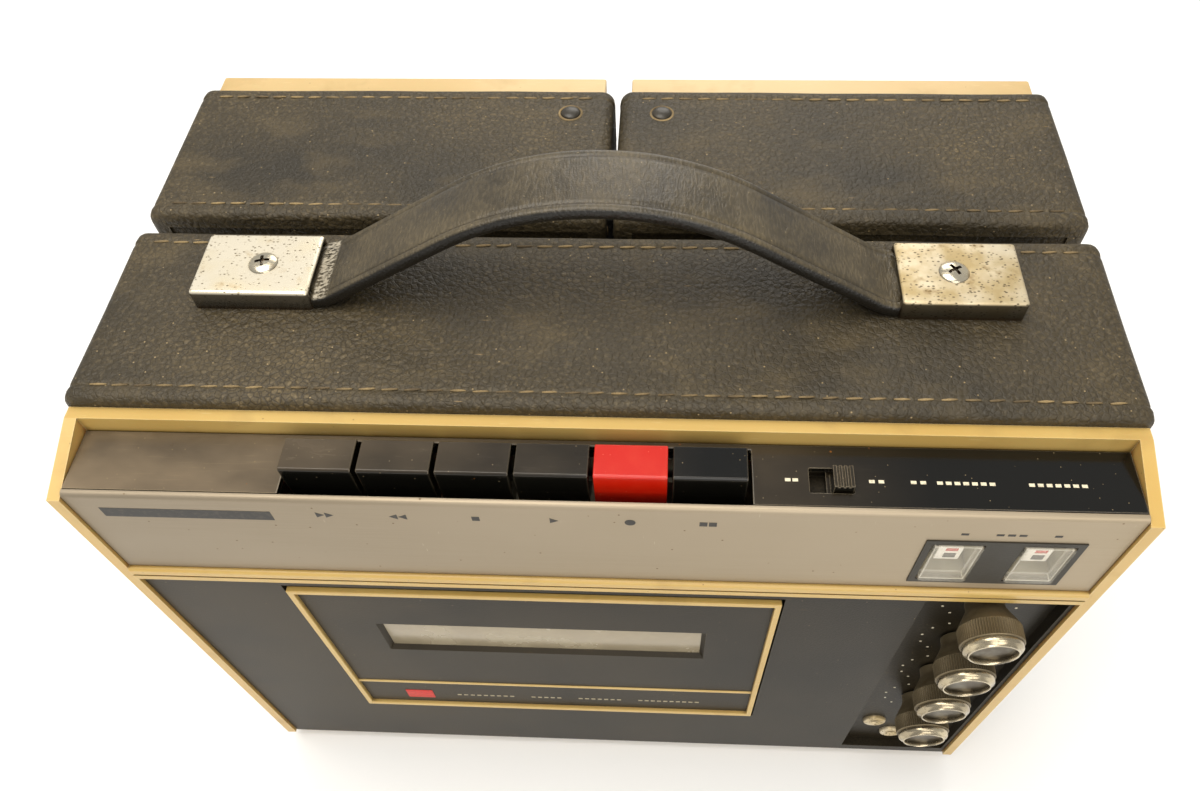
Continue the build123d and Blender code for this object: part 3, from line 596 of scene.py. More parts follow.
@dataclass(frozen=True)
class StrapLeather:
    """Bridle leather, dyed black and polished by the hand.

    Fine wrinkles run across where the strap bends; the crown is rubbed to grey-brown, the rest is
    dark and shiny, with painted shade in the corners. A pale patch lies on the fold beside the left cap.
    """

    slot: Slot = Slot.STRAP

    def make(self) -> bpy.types.Material:
        """Mix the material.

        Returns:
            The material.
        """
        s = Surface("strap_polished_leather")
        wrinkle = s.mask(Pattern.CLOUD, 0.7, 0.42, 0.66, 0.7, (1, 3.5, 1), 3)
        pore = s.mask(Pattern.PEBBLE, 0.5, 0.5, 0.1, detail=0)
        rub = s.mask(Pattern.CLOUD, 26, 0.22, 0.7, 0.95, detail=5)
        dust = s.mask(Pattern.SPOTS, 2.4, 0.08, 0.03, 0.8, detail=0)
        facing = s.facing_up(0.5, 0.8)
        rubbed = s.times(rub, facing)
        fold = s.times(s.along("X", -79.6, -80.6), s.along("X", -84.8, -84.0))
        pale_fold_patch = s.times(s.times(fold, s.mask(Pattern.CLOUD, 0.7, 0.42, 0.56, 1, (2.5, 1, 1), 4)), facing)
        # the fold layer lays a pale patch beside the left cap; the last layer is painted shade in the corners
        s.paint("#14110b", (rubbed, "#524833"), (pale_fold_patch, "#a89f8c"), (s.times(wrinkle, rubbed), "#665a42"),
                (s.times(dust, facing), "#a6946f"), (s.edges(0.7, 0.35), "#6c604a"),
                (s.corners(2, 0.7, 0.2, 0.8), "#060503"))
        s.gloss(0.3, (rubbed, 0.5))
        s.relief((wrinkle, 0.1), (pore, 0.03))
        return s.fix(Specular_IOR_Level=0.5)


@dataclass(frozen=True)
class SheetMetal:
    """Steel, zinc plated or ground: cool grey with a faint spangle and painted shade in the corners."""

    slot: Slot
    base: str = "#a9a79c"
    stretch: tuple[float, float, float] = (1, 1, 1)

    def make(self) -> bpy.types.Material:
        """Mix the material.

        Returns:
            The material.
        """
        s = Surface(self.slot.value + "_steel")
        spangle = s.mask(Pattern.CLOUD, 5, 0.4, 0.64, 0.6, self.stretch)
        # painted shade: the corner layer
        s.paint(self.base, (spangle, "#85837a"), (s.corners(3, 0.8, 0.3, 0.7), "#3a3528"))
        s.gloss(0.3, (spangle, 0.42))
        s.relief((s.mask(Pattern.CLOUD, 0.6, 0.3, 0.7), 0.008))
        return s.fix(Metallic=0.95)


@dataclass(frozen=True)
class Plain:
    """A matt or satin non-metal: rubber, resin board, nylon, paper or paint.

    The eye sees a slightly cloudy, fine-grained surface with painted shade in sheltered corners.
    """

    slot: Slot
    base: str
    cloud: str
    rough: float
    grain: float = 0.8
    bump: float = 0.02

    def make(self) -> bpy.types.Material:
        """Mix the material.

        Returns:
            The material.
        """
        s = Surface(self.slot.value + "_matt")
        cloud = s.mask(Pattern.CLOUD, 12, 0.4, 0.68, 0.8, detail=5)
        grain = s.mask(Pattern.CLOUD, self.grain, 0.35, 0.65)
        # painted shade: the corner layer
        s.paint(self.base, (cloud, self.cloud), (s.corners(3, 0.75, 0.25, 0.6), "#14100a"))
        s.gloss(self.rough, (cloud, min(1.0, self.rough + 0.12)))
        s.relief((grain, self.bump))
        return s.material


@dataclass(frozen=True)
class ClearCover:
    """Polished clear polystyrene: nearly unseen where flat, with a painted highlight on the rims and a faint
    haze.

    It is clear by alpha, because light through a closed cover would leave its inside dark.
    """

    slot: Slot = Slot.CLEAR
    flat: float = 0.14
    rim: float = 0.75

    def make(self) -> bpy.types.Material:
        """Mix the material.

        Returns:
            The material.
        """
        s = Surface("clear_polystyrene_cover")
        cloud = s.mask(Pattern.CLOUD, 9, 0.4, 0.7, 0.7, (2.5, 1, 1), 5)
        s.paint("#efe9d8", (cloud, "#ddd4bd"))
        s.gloss(0.06, (cloud, 0.16))
        s.relief((s.mask(Pattern.CLOUD, 4, 0.3, 0.7), 0.01))
        # the rims turn less clear in the pale colour: a painted highlight
        s.feed("Alpha", s.blend(s.edges(0.9), self.flat, self.rim))
        return s.fix(IOR=1.49)


@dataclass(frozen=True)
class Thread:
    """Waxed linen thread: tan, twisted, dirty where it dives into the leatherette."""

    def make(self) -> bpy.types.Material:
        """Mix the material.

        Returns:
            The material.
        """
        s = Surface("waxed_linen_thread")
        twist = s.mask(Pattern.CLOUD, 0.35, 0.35, 0.65, 1, (1, 1, 1), 2)
        soil = s.mask(Pattern.CLOUD, 14, 0.38, 0.62, 0.9, detail=5)
        s.paint("#85704a", (twist, "#9b855c"), (soil, "#473a25"))
        s.gloss(0.75)
        s.relief((twist, 0.05))
        return s.material


@dataclass(frozen=True)
class Ink:
    """Screen-printed ink: flat, slightly broken where it has worn."""

    name: str
    base: str
    worn: str

    def make(self) -> bpy.types.Material:
        """Mix the material.

        Returns:
            The material.
        """
        s = Surface(self.name)
        s.paint(self.base, (s.mask(Pattern.CLOUD, 1.1, 0.52, 0.66, 0.6, detail=4), self.worn))
        s.gloss(0.5)
        s.relief((s.mask(Pattern.CLOUD, 0.5, 0.3, 0.7), 0.006))
        return s.material


SLOT_FINISHES = (
    Leatherette(),
    Moulding(Slot.CREAM, "#bf9c55", "#94733a", "#c9aa66"),
    Moulding(Slot.PALE_CREAM, "#bfa26c", "#94753f", "#cbb07e"),
    GlossBlack(Slot.DECK, "#0b0a06", 1.1),
    GlossBlack(Slot.KEY, "#080806", 0.62, 6.0, (30, -120)),
    RedKey(),
    SatinPanel(Slot.PANEL),
    BrushedAluminium(),
    PittedChrome(Slot.CHROME, "#f0e6cf", metal=0.55, film=0.9),
    PittedChrome(Slot.SCREW, "#c6bda8", 0.4, 0.75),
    ClearCover(),
    Plain(Slot.PANE, "#978b73", "#a69a80", 0.22, 3.0, 0.004),
    Plain(Slot.DIAL, "#8c8474", "#a09885", 0.5),
    Plain(Slot.NEEDLE, "#16130d", "#241f16", 0.4),
    KnobMetal(),
    StrapLeather(),
    SheetMetal(Slot.ZINC),
    SheetMetal(Slot.TURNED, "#b9b6ad", (1, 1, 6)),
    Plain(Slot.RUBBER, "#1b1915", "#2a2620", 0.8),
    Plain(Slot.BOARD, "#8a5b24", "#a06c30", 0.5),
    Plain(Slot.NYLON, "#b9b3a0", "#a59e88", 0.45),
    Plain(Slot.GRILLE, "#26221b", "#332e25", 0.42, 0.5, 0.03),
    Plain(Slot.CONE, "#2b2822", "#3a352c", 0.9, 0.9, 0.08),
    Plain(Slot.RIVET, "#2c271d", "#453c2b", 0.36),
)


class Palette:
    """Every material of the recorder, made once.

    A slot's own finish is found under the slot. The others dress pieces that differ from their slot:
    thread, inks, the meters' plate, card and wells, and the knobs' bright rings and dull caps.
    """

    def __init__(self) -> None:
        """Make the slot finishes and the few that no slot holds."""
        self.slots = {finish.slot: finish.make() for finish in SLOT_FINISHES}
        self.thread = Thread().make()
        self.ink_dark = Ink("ink_black", "#1c1812", "#3c352a").make()
        self.ink_pale = Ink("ink_ivory", "#d8cfb4", "#a59a80").make()
        self.ink_grey = Ink("ink_grey", "#a3977a", "#6a5f49").make()
        self.plate = Plain(Slot.DECK, "#28241a", "#302b20", 0.55).make()
        self.ink_red = Ink("ink_red", "#c32418", "#8f2a1c").make()
        self.scale_white = Ink("scale_white_card", "#efe9dc", "#d9d1be").make()
        self.well = Plain(Slot.DIAL, "#b3a98f", "#998f76", 0.6).make()
        self.bright = PittedChrome(Slot.CHROME, "#a89c84", 0.3, 0.4, 0).make()
        self.dull = SheetMetal(Slot.KNOB, "#4e4536").make()


# ---------------------------------------------------------------- shaping helpers
def verts_of(geom: Iterable) -> list[bmesh.types.BMVert]:
    """The vertices in what an operator made."""
    return [item for item in geom if isinstance(item, bmesh.types.BMVert)]


def edges_of(geom: Iterable) -> list[bmesh.types.BMEdge]:
    """The edges in what an operator made."""
    return [item for item in geom if isinstance(item, bmesh.types.BMEdge)]


def finished(name: str, bm: bmesh.types.BMesh, sharp: float = 32.0,
             turn_out: bool = True) -> bpy.types.Object:
    """Turn a bmesh to a smooth-shaded object.

    Args:
        name: The piece's name.
        bm: The shape, freed here.
        sharp: Edges steeper than this many degrees stay crisp.
        turn_out: Whether to merge doubles and recalculate the normals.

    Returns:
        The object, linked to the scene.
    """
    if turn_out:
        bmesh.ops.remove_doubles(bm, verts=bm.verts, dist=MERGE)
        bmesh.ops.recalc_face_normals(bm, faces=bm.faces)
    mesh = bpy.data.meshes.new(name)
    bm.to_mesh(mesh)
    bm.free()
    mesh.polygons.foreach_set("use_smooth", [True] * len(mesh.polygons))
    mesh.set_sharp_from_angle(angle=math.radians(sharp))
    piece = bpy.data.objects.new(name, mesh)
    bpy.context.scene.collection.objects.link(piece)
    return piece


def fit(piece: bpy.types.Object, body: str, slot: Slot, material: bpy.types.Material | Palette,
        *nodes: str) -> bpy.types.Object:
    """Dress a piece and hang it on its body.

    Args:
        piece: The piece.
        body: The body that it rides on.
        slot: The record's slot that it takes its finish from.
        material: Its material, or the palette to take the slot's own.
        nodes: CAD nodes that it stands for.

    Returns:
        The piece.
    """
    made = material.slots[slot] if isinstance(material, Palette) else material
    piece.data.materials.append(made)
    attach(piece, body)
    if nodes:
        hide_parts(*nodes)
    log.info("%s on %s, %d faces", piece.name, body, len(piece.data.polygons))
    return piece


def cube_into(bm: bmesh.types.BMesh, low: Vector, high: Vector) -> list[bmesh.types.BMVert]:
    """Add a plain box between two corners.

    Args:
        bm: The mesh that it joins.
        low: Lowest corner.
        high: Highest corner.

    Returns:
        Its vertices.
    """
    matrix = Matrix.Translation((low + high) / 2) @ Matrix.Diagonal((*(high - low), 1))
    return bmesh.ops.create_cube(bm, size=1, matrix=matrix)["verts"]


def round_edges(bm: bmesh.types.BMesh, edges: Iterable[bmesh.types.BMEdge], radius: float,
                segments: int) -> None:
    """Round some edges of a mesh.

    Args:
        bm: The mesh.
        edges: Its edges to round.
        radius: Edge radius.
        segments: Steps of the rounding.
    """
    bmesh.ops.bevel(bm, geom=list(edges), offset=radius, segments=segments, profile=0.5, affect="EDGES",
                    material=-1)


def box_into(bm: bmesh.types.BMesh, low: Vector, high: Vector, bevel: float = 0.0) -> None:
    """Add a box between two corners, its edges rounded.

    Args:
        bm: The mesh that it joins.
        low: Lowest corner.
        high: Highest corner.
        bevel: Edge radius, or 0 for sharp edges.
    """
    verts = cube_into(bm, low, high)
    if bevel > 0:
        round_edges(bm, dict.fromkeys(edge for vert in verts for edge in vert.link_edges), bevel, 2)


def cut_across(bm: bmesh.types.BMesh, centre: Vector, offsets: Iterable[float]) -> None:
    """Divide a mesh by planes across X, then by planes across Y.

    Args:
        bm: The mesh.
        centre: Where offset 0 is.
        offsets: Distances of the planes from the centre.
    """
    for axis in (SIDEWAYS, BACKWARD):
        for offset in offsets:
            geom = bm.verts[:] + bm.edges[:] + bm.faces[:]
            bmesh.ops.bisect_plane(bm, geom=geom, plane_co=centre + axis * offset, plane_no=axis)


def board_from(bm: bmesh.types.BMesh, thickness: float) -> None:
    """Fill upright outlines and give the flat board its thickness.

    Args:
        bm: The mesh, which holds closed outlines only; an inner one is left open.
        thickness: How far back the board reaches.
    """
    bmesh.ops.triangle_fill(bm, edges=bm.edges[:], use_beauty=True)
    made = bmesh.ops.extrude_face_region(bm, geom=bm.faces[:])["geom"]
    bmesh.ops.translate(bm, vec=BACKWARD * thickness, verts=verts_of(made))


def dome(radius: float, rise: float, step: int) -> list[tuple[float, float]]:
    """Outline of a dome, from its top to its rim.

    Args:
        radius: Radius of its rim.
        rise: Height of its top over the rim.
        step: Degrees from point to point.

    Returns:
        Radii and heights.
    """
    turns = [math.radians(degrees) for degrees in range(0, 91, step)]
    return [(radius * math.sin(turn), rise * math.cos(turn)) for turn in turns]


def turned_into(bm: bmesh.types.BMesh, outline: Iterable[tuple[float, float]], centre: Vector,
                axis: Vector, steps: int) -> None:
    """Add a shape turned round an axis.

    Args:
        bm: The mesh that it joins.
        outline: Radii and heights along the axis.
        centre: Where height 0 is.
        axis: Direction of the axis.
        steps: Steps of the full turn.
    """
    side = axis.orthogonal().normalized()
    verts = [bm.verts.new(centre + side * radius + axis * height) for radius, height in outline]
    edges = [bm.edges.new(pair) for pair in zip(verts, verts[1:])]
    bmesh.ops.spin(bm, geom=verts + edges, cent=centre, axis=axis, angle=2 * math.pi, steps=steps,
                   use_merge=True)


def worked_copy(node: str, name: str, bevel: float, segments: int) -> bpy.types.Object:
    """A merged copy of a CAD node with its edges broken.

    Args:
        node: The CAD node.
        name: The new piece's name.
        bevel: Edge radius in millimetres, or 0 for none.
        segments: Steps of the rounding.

    Returns:
        The new piece.
    """
    bm = bmesh.new()
    bm.from_mesh(frame["nodes"][node].data)
    bmesh.ops.remove_doubles(bm, verts=bm.verts, dist=MERGE)
    piece = finished(name, bm, turn_out=False)
    if bevel > 0:
        rounding = piece.modifiers.new("broken_edges", "BEVEL")
        rounding.width = bevel * MM
        rounding.segments = segments
        rounding.limit_method = "ANGLE"
        rounding.angle_limit = math.radians(35)
        rounding.miter_outer = "MITER_ARC"
    weigh = piece.modifiers.new("flat_faces_stay_flat", "WEIGHTED_NORMAL")
    weigh.keep_sharp = True
    return piece


# ---------------------------------------------------------------- leatherette bands and their stitches
@dataclass
class WrappedBand:
    """Leatherette wrapped round a rectangular wooden band, rolled over outside a stitch line.

    Slants and leans are in degrees: the usual one, and how far a stitch may differ from it.
    """

    node: str
    name: str
    body: str
    depth_range: tuple[float, float]
    corner: float = 4.5 * MM
    corner_steps: int = 5
    straight: float = 20.0 * MM
    straight_cuts: int = 36
    roll: float = 2.6 * MM
    roll_steps: int = 5
    seam: float = 5.2 * MM
    wall: float = 6.0 * MM
    inner: float = 0.4 * MM
    sag: float = 0.352 * MM
    sag_waves: float = 28.0
    pitch: float = 6.4 * MM
    stitch: float = 5.5 * MM
    thickness: float = 0.42 * MM
    sunk: float = 0.12 * MM
    wander: float = 0.15 * MM
    slant: tuple[float, float] = (7, 3)
    lean: tuple[float, float] = (4, 2)
    stitch_seed: int = 7

    def profile(self) -> list[tuple[float, float]]:
        """Outline of the band's section, from the front inner edge over the outside to the back.

        Returns:
            Pairs of depth and height over the outer face.
        """
        front, back = self.depth_range
        edge = [(0.0, -self.wall), (0.0, -self.roll)]
        for step in range(1, self.roll_steps + 1):
            angle = math.radians(90 * step / self.roll_steps)
            edge.append((self.roll * (1 - math.cos(angle)), self.roll * (math.sin(angle) - 1)))
        seam = self.seam
        edge += [(seam - 1.5 * MM, 0.12 * MM), (seam - 0.7 * MM, 0.02 * MM), (seam, -0.42 * MM),
                 (seam + 0.6 * MM, -0.08 * MM), (seam + 1.6 * MM, 0.0), (seam + 6 * MM, 0.0)]
        middle = [((front + back) / 2 - front, 0.0)]
        near = [(front + depth, height) for depth, height in edge + middle]
        far = [(back - depth, height) for depth, height in reversed(edge)]
        return near + far

    def build(self, palette: Palette) -> None:
        """Sweep the section round the case, roughen it a little, and sew it.

        Args:
            palette: The materials.
        """
        low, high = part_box(self.node)
        centre = (low + high) / 2
        bm = bmesh.new()
        outline = self.first_loop(bm, low, high)
        rows = [outline]
        places = {vert: self.way_out(vert, low, high) for vert in outline}
        profile = self.profile()
        loop = list(bm.edges)
        for _ in profile[1:]:
            made = bmesh.ops.extrude_edge_only(bm, edges=loop)["geom"]
            loop = edges_of(made)
            rows.append(verts_of(made))
        for (depth, height), row, spots in zip(profile, rows, self.follow(rows, places)):
            for vert in row:
                spot, out = spots[vert]
                reach = max(self.corner, self.inner - height)
                vert.co = self.hub(spot, reach, low, high) + out * (reach + height)
                vert.co.y = depth
        bmesh.ops.bridge_loops(bm, edges=[edge for edge in bm.edges if edge.is_boundary])
        for vert in bm.verts:
            outward = Vector((vert.co.x - centre.x, 0, vert.co.z - centre.z)).normalized()
            vert.co += outward * self.sag * noise.noise(vert.co * self.sag_waves)
        fit(finished(self.name, bm, 50), self.body, Slot.LEATHERETTE, palette, self.node)
        self.sew(palette, low, high)

    def first_loop(self, bm: bmesh.types.BMesh, low: Vector, high: Vector) -> list[bmesh.types.BMVert]:
        """The rounded rectangle of the outer face, with its straight runs divided.

        Args:
            bm: The mesh that it joins.
            low: Lowest corner of the case.
            high: Highest corner of the case.

        Returns:
            The loop's vertices.
        """
        middle, size = (low + high) / 2, high - low
        sheet = Matrix.Diagonal((size.x, size.z, 1, 1))
        matrix = Matrix.Translation((middle.x, 0, middle.z)) @ UPRIGHT @ sheet
        bmesh.ops.create_grid(bm, x_segments=1, y_segments=1, size=0.5, matrix=matrix)
        bmesh.ops.bevel(bm, geom=list(bm.verts), offset=self.corner, segments=self.corner_steps, profile=0.5,
                        affect="VERTICES", material=-1)
        bmesh.ops.delete(bm, geom=list(bm.faces), context="FACES_ONLY")
        long_edges = [edge for edge in bm.edges if edge.calc_length() > self.straight]
        bmesh.ops.subdivide_edges(bm, edges=long_edges, cuts=self.straight_cuts)
        return list(bm.verts)

    def way_out(self, vert: bmesh.types.BMVert, low: Vector, high: Vector) -> tuple[Vector, Vector]:
        """Where a vertex of the first loop is, and its outward direction.

        Args:
            vert: The vertex.
            low: Lowest corner of the case.
            high: Highest corner of the case.

        Returns:
            Its place and its direction away from its arc centre.
        """
        return vert.co.copy(), (vert.co - self.hub(vert.co, self.corner, low, high)).normalized()

    def hub(self, spot: Vector, reach: float, low: Vector, high: Vector) -> Vector:
        """The point nearest to a spot that is reach inside the case's outline.

        Args:
            spot: The spot.
            reach: How far inside the outline the point stays.
            low: Lowest corner of the case.
            high: Highest corner of the case.

        Returns:
            The point, at depth 0.
        """
        x = min(max(spot.x, low.x + reach), high.x - reach)
        z = min(max(spot.z, low.z + reach), high.z - reach)
        return Vector((x, 0, z))

    def follow(self, rows: list, places: dict) -> list[dict]:
        """Hand each row the places of the row that it was extruded from.

        Args:
            rows: Vertices of each row.
            places: Places of the first row's vertices.

        Returns:
            One dictionary of vertex to place for each row.
        """
        all_places = [places]
        for row in rows[1:]:
            before = all_places[-1]
            spots = {}
            for vert in row:
                parent = next(e.other_vert(vert) for e in vert.link_edges if e.other_vert(vert) in before)
                spots[vert] = before[parent]
            all_places.append(spots)
        return all_places

    def sew(self, palette: Palette, low: Vector, high: Vector) -> None:
        """Lay a running stitch along both seams of all four faces.

        Args:
            palette: The materials.
            low: Lowest corner of the case.
            high: Highest corner of the case.
        """
        bm = bmesh.new()
        front, back = self.depth_range
        inset = self.corner + 2.5 * MM
        left, right, floor, top = low.x + inset, high.x - inset, low.z + inset, high.z - inset
        spin = random.Random(self.stitch_seed)
        sides = (
            (Vector((left, 0, high.z)), Vector((right, 0, high.z)), UPWARD),
            (Vector((left, 0, low.z)), Vector((right, 0, low.z)), -UPWARD),
            (Vector((low.x, 0, floor)), Vector((low.x, 0, top)), -SIDEWAYS),
            (Vector((high.x, 0, floor)), Vector((high.x, 0, top)), SIDEWAYS),
        )
        size = Matrix.Diagonal((self.stitch / 2, self.thickness, self.thickness * 0.9, 1))
        for start, end, out in sides:
            run = end - start
            along = run.normalized()
            turn = Matrix((along, out.cross(along), out)).transposed().to_4x4()
            count = round(run.length / self.pitch)
            for depth in (front + self.seam, back - self.seam):
                for index in range(count):
                    spot = start + run * ((index + 0.5) / count) - out * self.sunk
                    spot.y = depth + spin.uniform(-self.wander, self.wander)
                    slant, lean = (math.radians(usual + spin.uniform(-most, most))
                                   for usual, most in (self.slant, self.lean))
                    tilt = Matrix.Rotation(slant, 4, "Z") @ Matrix.Rotation(lean, 4, "Y")
                    bmesh.ops.create_uvsphere(bm, u_segments=6, v_segments=5, radius=1,
                                              matrix=Matrix.Translation(spot) @ turn @ tilt @ size)
        stitches = finished(self.name + "_stitches", bm, 80)
        fit(stitches, self.body, Slot.LEATHERETTE, palette.thread)


# ---------------------------------------------------------------- handle
@dataclass
class Handle:
    """Leather strap, swept along its arch, with plated end caps and cross-recess screws.

    Waves are per metre, along X, Y and Z where there are three.
    """

    thickness: float = 4.0 * MM
    crown_radius: float = 85.0 * MM
    flank: float = math.radians(31)
    bend_radius: float = 14.0 * MM
    tab_top: float = 4.2 * MM
    tab_x: float = 94.0 * MM
    cap_wall: float = 1.1 * MM
    cap_edge: float = 1.2 * MM
    dish: float = 0.45 * MM
    dish_radius: float = 6.4 * MM
    dish_cuts: int = 8
    lip: float = 1.3 * MM
    narrow: float = 0.85
    rim: float = 3.4 * MM
    crease_waves: tuple[float, float, float] = (620, 120, 60)
    crease_height: float = 0.16 * MM
    swell_waves: float = 90.0
    swell_height: float = 0.12 * MM
    head_radius: float = 4.5 * MM
    head_rise: float = 1.7 * MM
    slot_half: float = 0.5 * MM
    slot_reach: float = 2.2 * MM
    slot_depth: float = 1.1 * MM
    slot_taper: float = 0.8
    slot_turns: tuple[float, float] = (12, 31)

    def build(self, palette: Palette) -> None:
        """Make the strap, the caps and the screws.

        Args:
            palette: The materials.
        """
        self.strap(palette)
        for side, sign in (("left", -1), ("right", 1)):
            self.cap(palette, side, sign)
        self.screws(palette)

    def section(self, half: float) -> list[tuple[float, float]]:
        """The strap's section: a wrinkled field between two grooves and two smooth rims.

        Args:
            half: Half of the strap's width.

        Returns:
            Pairs of place across and height over the outer face, once round.
        """
        t = self.thickness
        fields = 12
        inner, crown = half - 3.1 * MM, 0.18 * MM
        shares = [2 * index / fields - 1 for index in range(fields + 1)]
        top = [(inner * share, crown * (1 - share ** 2)) for share in shares]
        rim = [(half - 2.75 * MM, -0.4 * MM), (half - 2.3 * MM, -0.05 * MM), (half - 1.2 * MM, 0.05 * MM),
               (half - 0.45 * MM, -0.25 * MM), (half, -1.1 * MM), (half, -t + 1.1 * MM),
               (half - 0.45 * MM, -t + 0.35 * MM), (half - 1.3 * MM, -t)]
        left_rim = [(-across, height) for across, height in reversed(rim)]
        under = [(half * 0.6, -t), (half * 0.2, -t), (-half * 0.2, -t), (-half * 0.6, -t)]
        return top + rim + under + left_rim

    def path(self, crown_z: float, top_z: float) -> list[Matrix]:
        """Moves that carry the section from the left tab over the crown to the right tab.

        Args:
            crown_z: Height of the crown's outer face.
            top_z: Height of the case's top.

        Returns:
            One small move for each step.
        """
        def turn(angle: float, centre: Vector, steps: int) -> list[Matrix]:
            """Steps of a turn about a centre; a positive angle pitches down to the right."""
            there, back = Matrix.Translation(centre), Matrix.Translation(-centre)
            return [there @ Matrix.Rotation(angle / steps, 4, "Y") @ back] * steps

        tab_z = top_z + self.tab_top
        crown_x = self.crown_radius * math.sin(self.flank)
        flank_z = crown_z - self.crown_radius * (1 - math.cos(self.flank))
        tangent = self.bend_radius * math.tan(self.flank / 2)
        meet_x = crown_x + (flank_z - tab_z) / math.tan(self.flank)
        tab_run = self.tab_x - meet_x - tangent
        flank_run = (meet_x - crown_x) / math.cos(self.flank) - tangent
        up = Vector((math.cos(self.flank), 0, math.sin(self.flank)))
        down = Vector((up.x, 0, -up.z))
        bend_z = tab_z + self.bend_radius
        tabs, flanks, bends, crowns = 4, 52, 8, 120
        moves = [Matrix.Translation((tab_run / tabs, 0, 0))] * tabs
        moves += turn(-self.flank, Vector((-meet_x - tangent, 0, bend_z)), bends)
        moves += [Matrix.Translation(up * flank_run / flanks)] * flanks
        moves += turn(2 * self.flank, Vector((0, 0, crown_z - self.crown_radius)), crowns)
        moves += [Matrix.Translation(down * flank_run / flanks)] * flanks
        moves += turn(-self.flank, Vector((meet_x + tangent, 0, bend_z)), bends)
        moves += [Matrix.Translation((tab_run / tabs, 0, 0))] * tabs
        return moves

    def strap(self, palette: Palette) -> None:
        """Sweep the section along the path, then wrinkle its outer face.

        Args:
            palette: The materials.
        """
        low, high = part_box("handle_strap")
        top_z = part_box("cabinet_sleeve")[1].z
        middle_y, half = (low.y + high.y) / 2, (high.y - low.y) / 2
        bm = bmesh.new()
        start = Vector((-self.tab_x, middle_y, top_z + self.tab_top))
        verts = [bm.verts.new(start + Vector((0, across, height))) for across, height in self.section(half)]
        ring = [bm.edges.new((vert, verts[(i + 1) % len(verts)])) for i, vert in enumerate(verts)]
        bmesh.ops.contextual_create(bm, geom=ring)
        for move in self.path(high.z, top_z):
            made = bmesh.ops.extrude_edge_only(bm, edges=ring)["geom"]
            ring = edges_of(made)
            bmesh.ops.transform(bm, matrix=move, verts=verts_of(made))
        bmesh.ops.contextual_create(bm, geom=ring)
        bmesh.ops.recalc_face_normals(bm, faces=bm.faces)
        bm.normal_update()
        cap_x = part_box("handle_cap_right")[0].x
        for vert in bm.verts:
            if vert.normal.z > 0.6 and abs(vert.co.y - middle_y) < half - self.rim:
                spot = Vector([place * waves for place, waves in zip(vert.co, self.crease_waves)])
                crease = noise.noise(spot) * self.crease_height
                swell = noise.noise(vert.co * self.swell_waves) * self.swell_height
                vert.co += vert.normal * (crease + swell)
            if abs(vert.co.x) > cap_x:
                vert.co.y = middle_y + (vert.co.y - middle_y) * self.narrow
        fit(finished("strap", bm, 60), "recorder", Slot.STRAP, palette, "handle_strap")

    def cap(self, palette: Palette, side: str, sign: int) -> None:
        """A pressed cap: rounded top with a shallow dish at the screw, open towards the strap.

        Args:
            palette: The materials.
            side: Its side's name.
            sign: -1 on the left, 1 on the right.
        """
        node = f"handle_cap_{side}"
        low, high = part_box(node)
        screw = self.screw_spot(sign)
        bm = bmesh.new()
        cube_into(bm, low, high)
        floor = [face for face in bm.faces if face.calc_center_median().z < low.z + MERGE]
        bmesh.ops.delete(bm, geom=floor, context="FACES_ONLY")
        round_edges(bm, [edge for edge in bm.edges if not edge.is_boundary], self.cap_edge, 4)
        steps = range(-self.dish_cuts, self.dish_cuts + 1)
        cut_across(bm, screw, [self.dish_radius * step / self.dish_cuts for step in steps])
        for vert in bm.verts:
            away = (Vector((vert.co.x, vert.co.y)) - screw.xy).length / self.dish_radius
            if vert.co.z > high.z - 0.02 * MM and away < 1:
                vert.co.z -= self.dish * (0.5 + 0.5 * math.cos(math.pi * away))
        bmesh.ops.recalc_face_normals(bm, faces=bm.faces)
        mouth = [face for face in bm.faces if self.in_mouth(face, low, high, sign)]
        bmesh.ops.delete(bm, geom=mouth, context="FACES")
        piece = finished(f"strap_end_cap_{side}", bm, 40, turn_out=False)
        wall = piece.modifiers.new("wall", "SOLIDIFY")
        wall.thickness = self.cap_wall
        wall.offset = -1
        fit(piece, "recorder", Slot.CHROME, palette, node)

    def in_mouth(self, face: bmesh.types.BMFace, low: Vector, high: Vector, sign: int) -> bool:
        """Whether a face closes the end that the strap goes in at.

        Args:
            face: The face.
            low: Lowest corner of the cap.
            high: Highest corner of the cap.
            sign: -1 on the left, 1 on the right.

        Returns:
            True for a face inside the mouth's lip.
        """
        spot = face.calc_center_median()
        near = low.x if sign > 0 else high.x
        inside = low.y + self.lip < spot.y < high.y - self.lip
        return abs(spot.x - near) < 0.05 * MM and inside

    def screw_spot(self, sign: int) -> Vector:
        """Middle of a cap's screw, on the cap's top.

        Args:
            sign: -1 on the left, 1 on the right.

        Returns:
            The spot.
        """
        low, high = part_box("handle_screws")
        radius = (high.y - low.y) / 2
        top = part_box("handle_cap_right")[1].z
        return Vector((sign * (high.x - radius), (low.y + high.y) / 2, top))

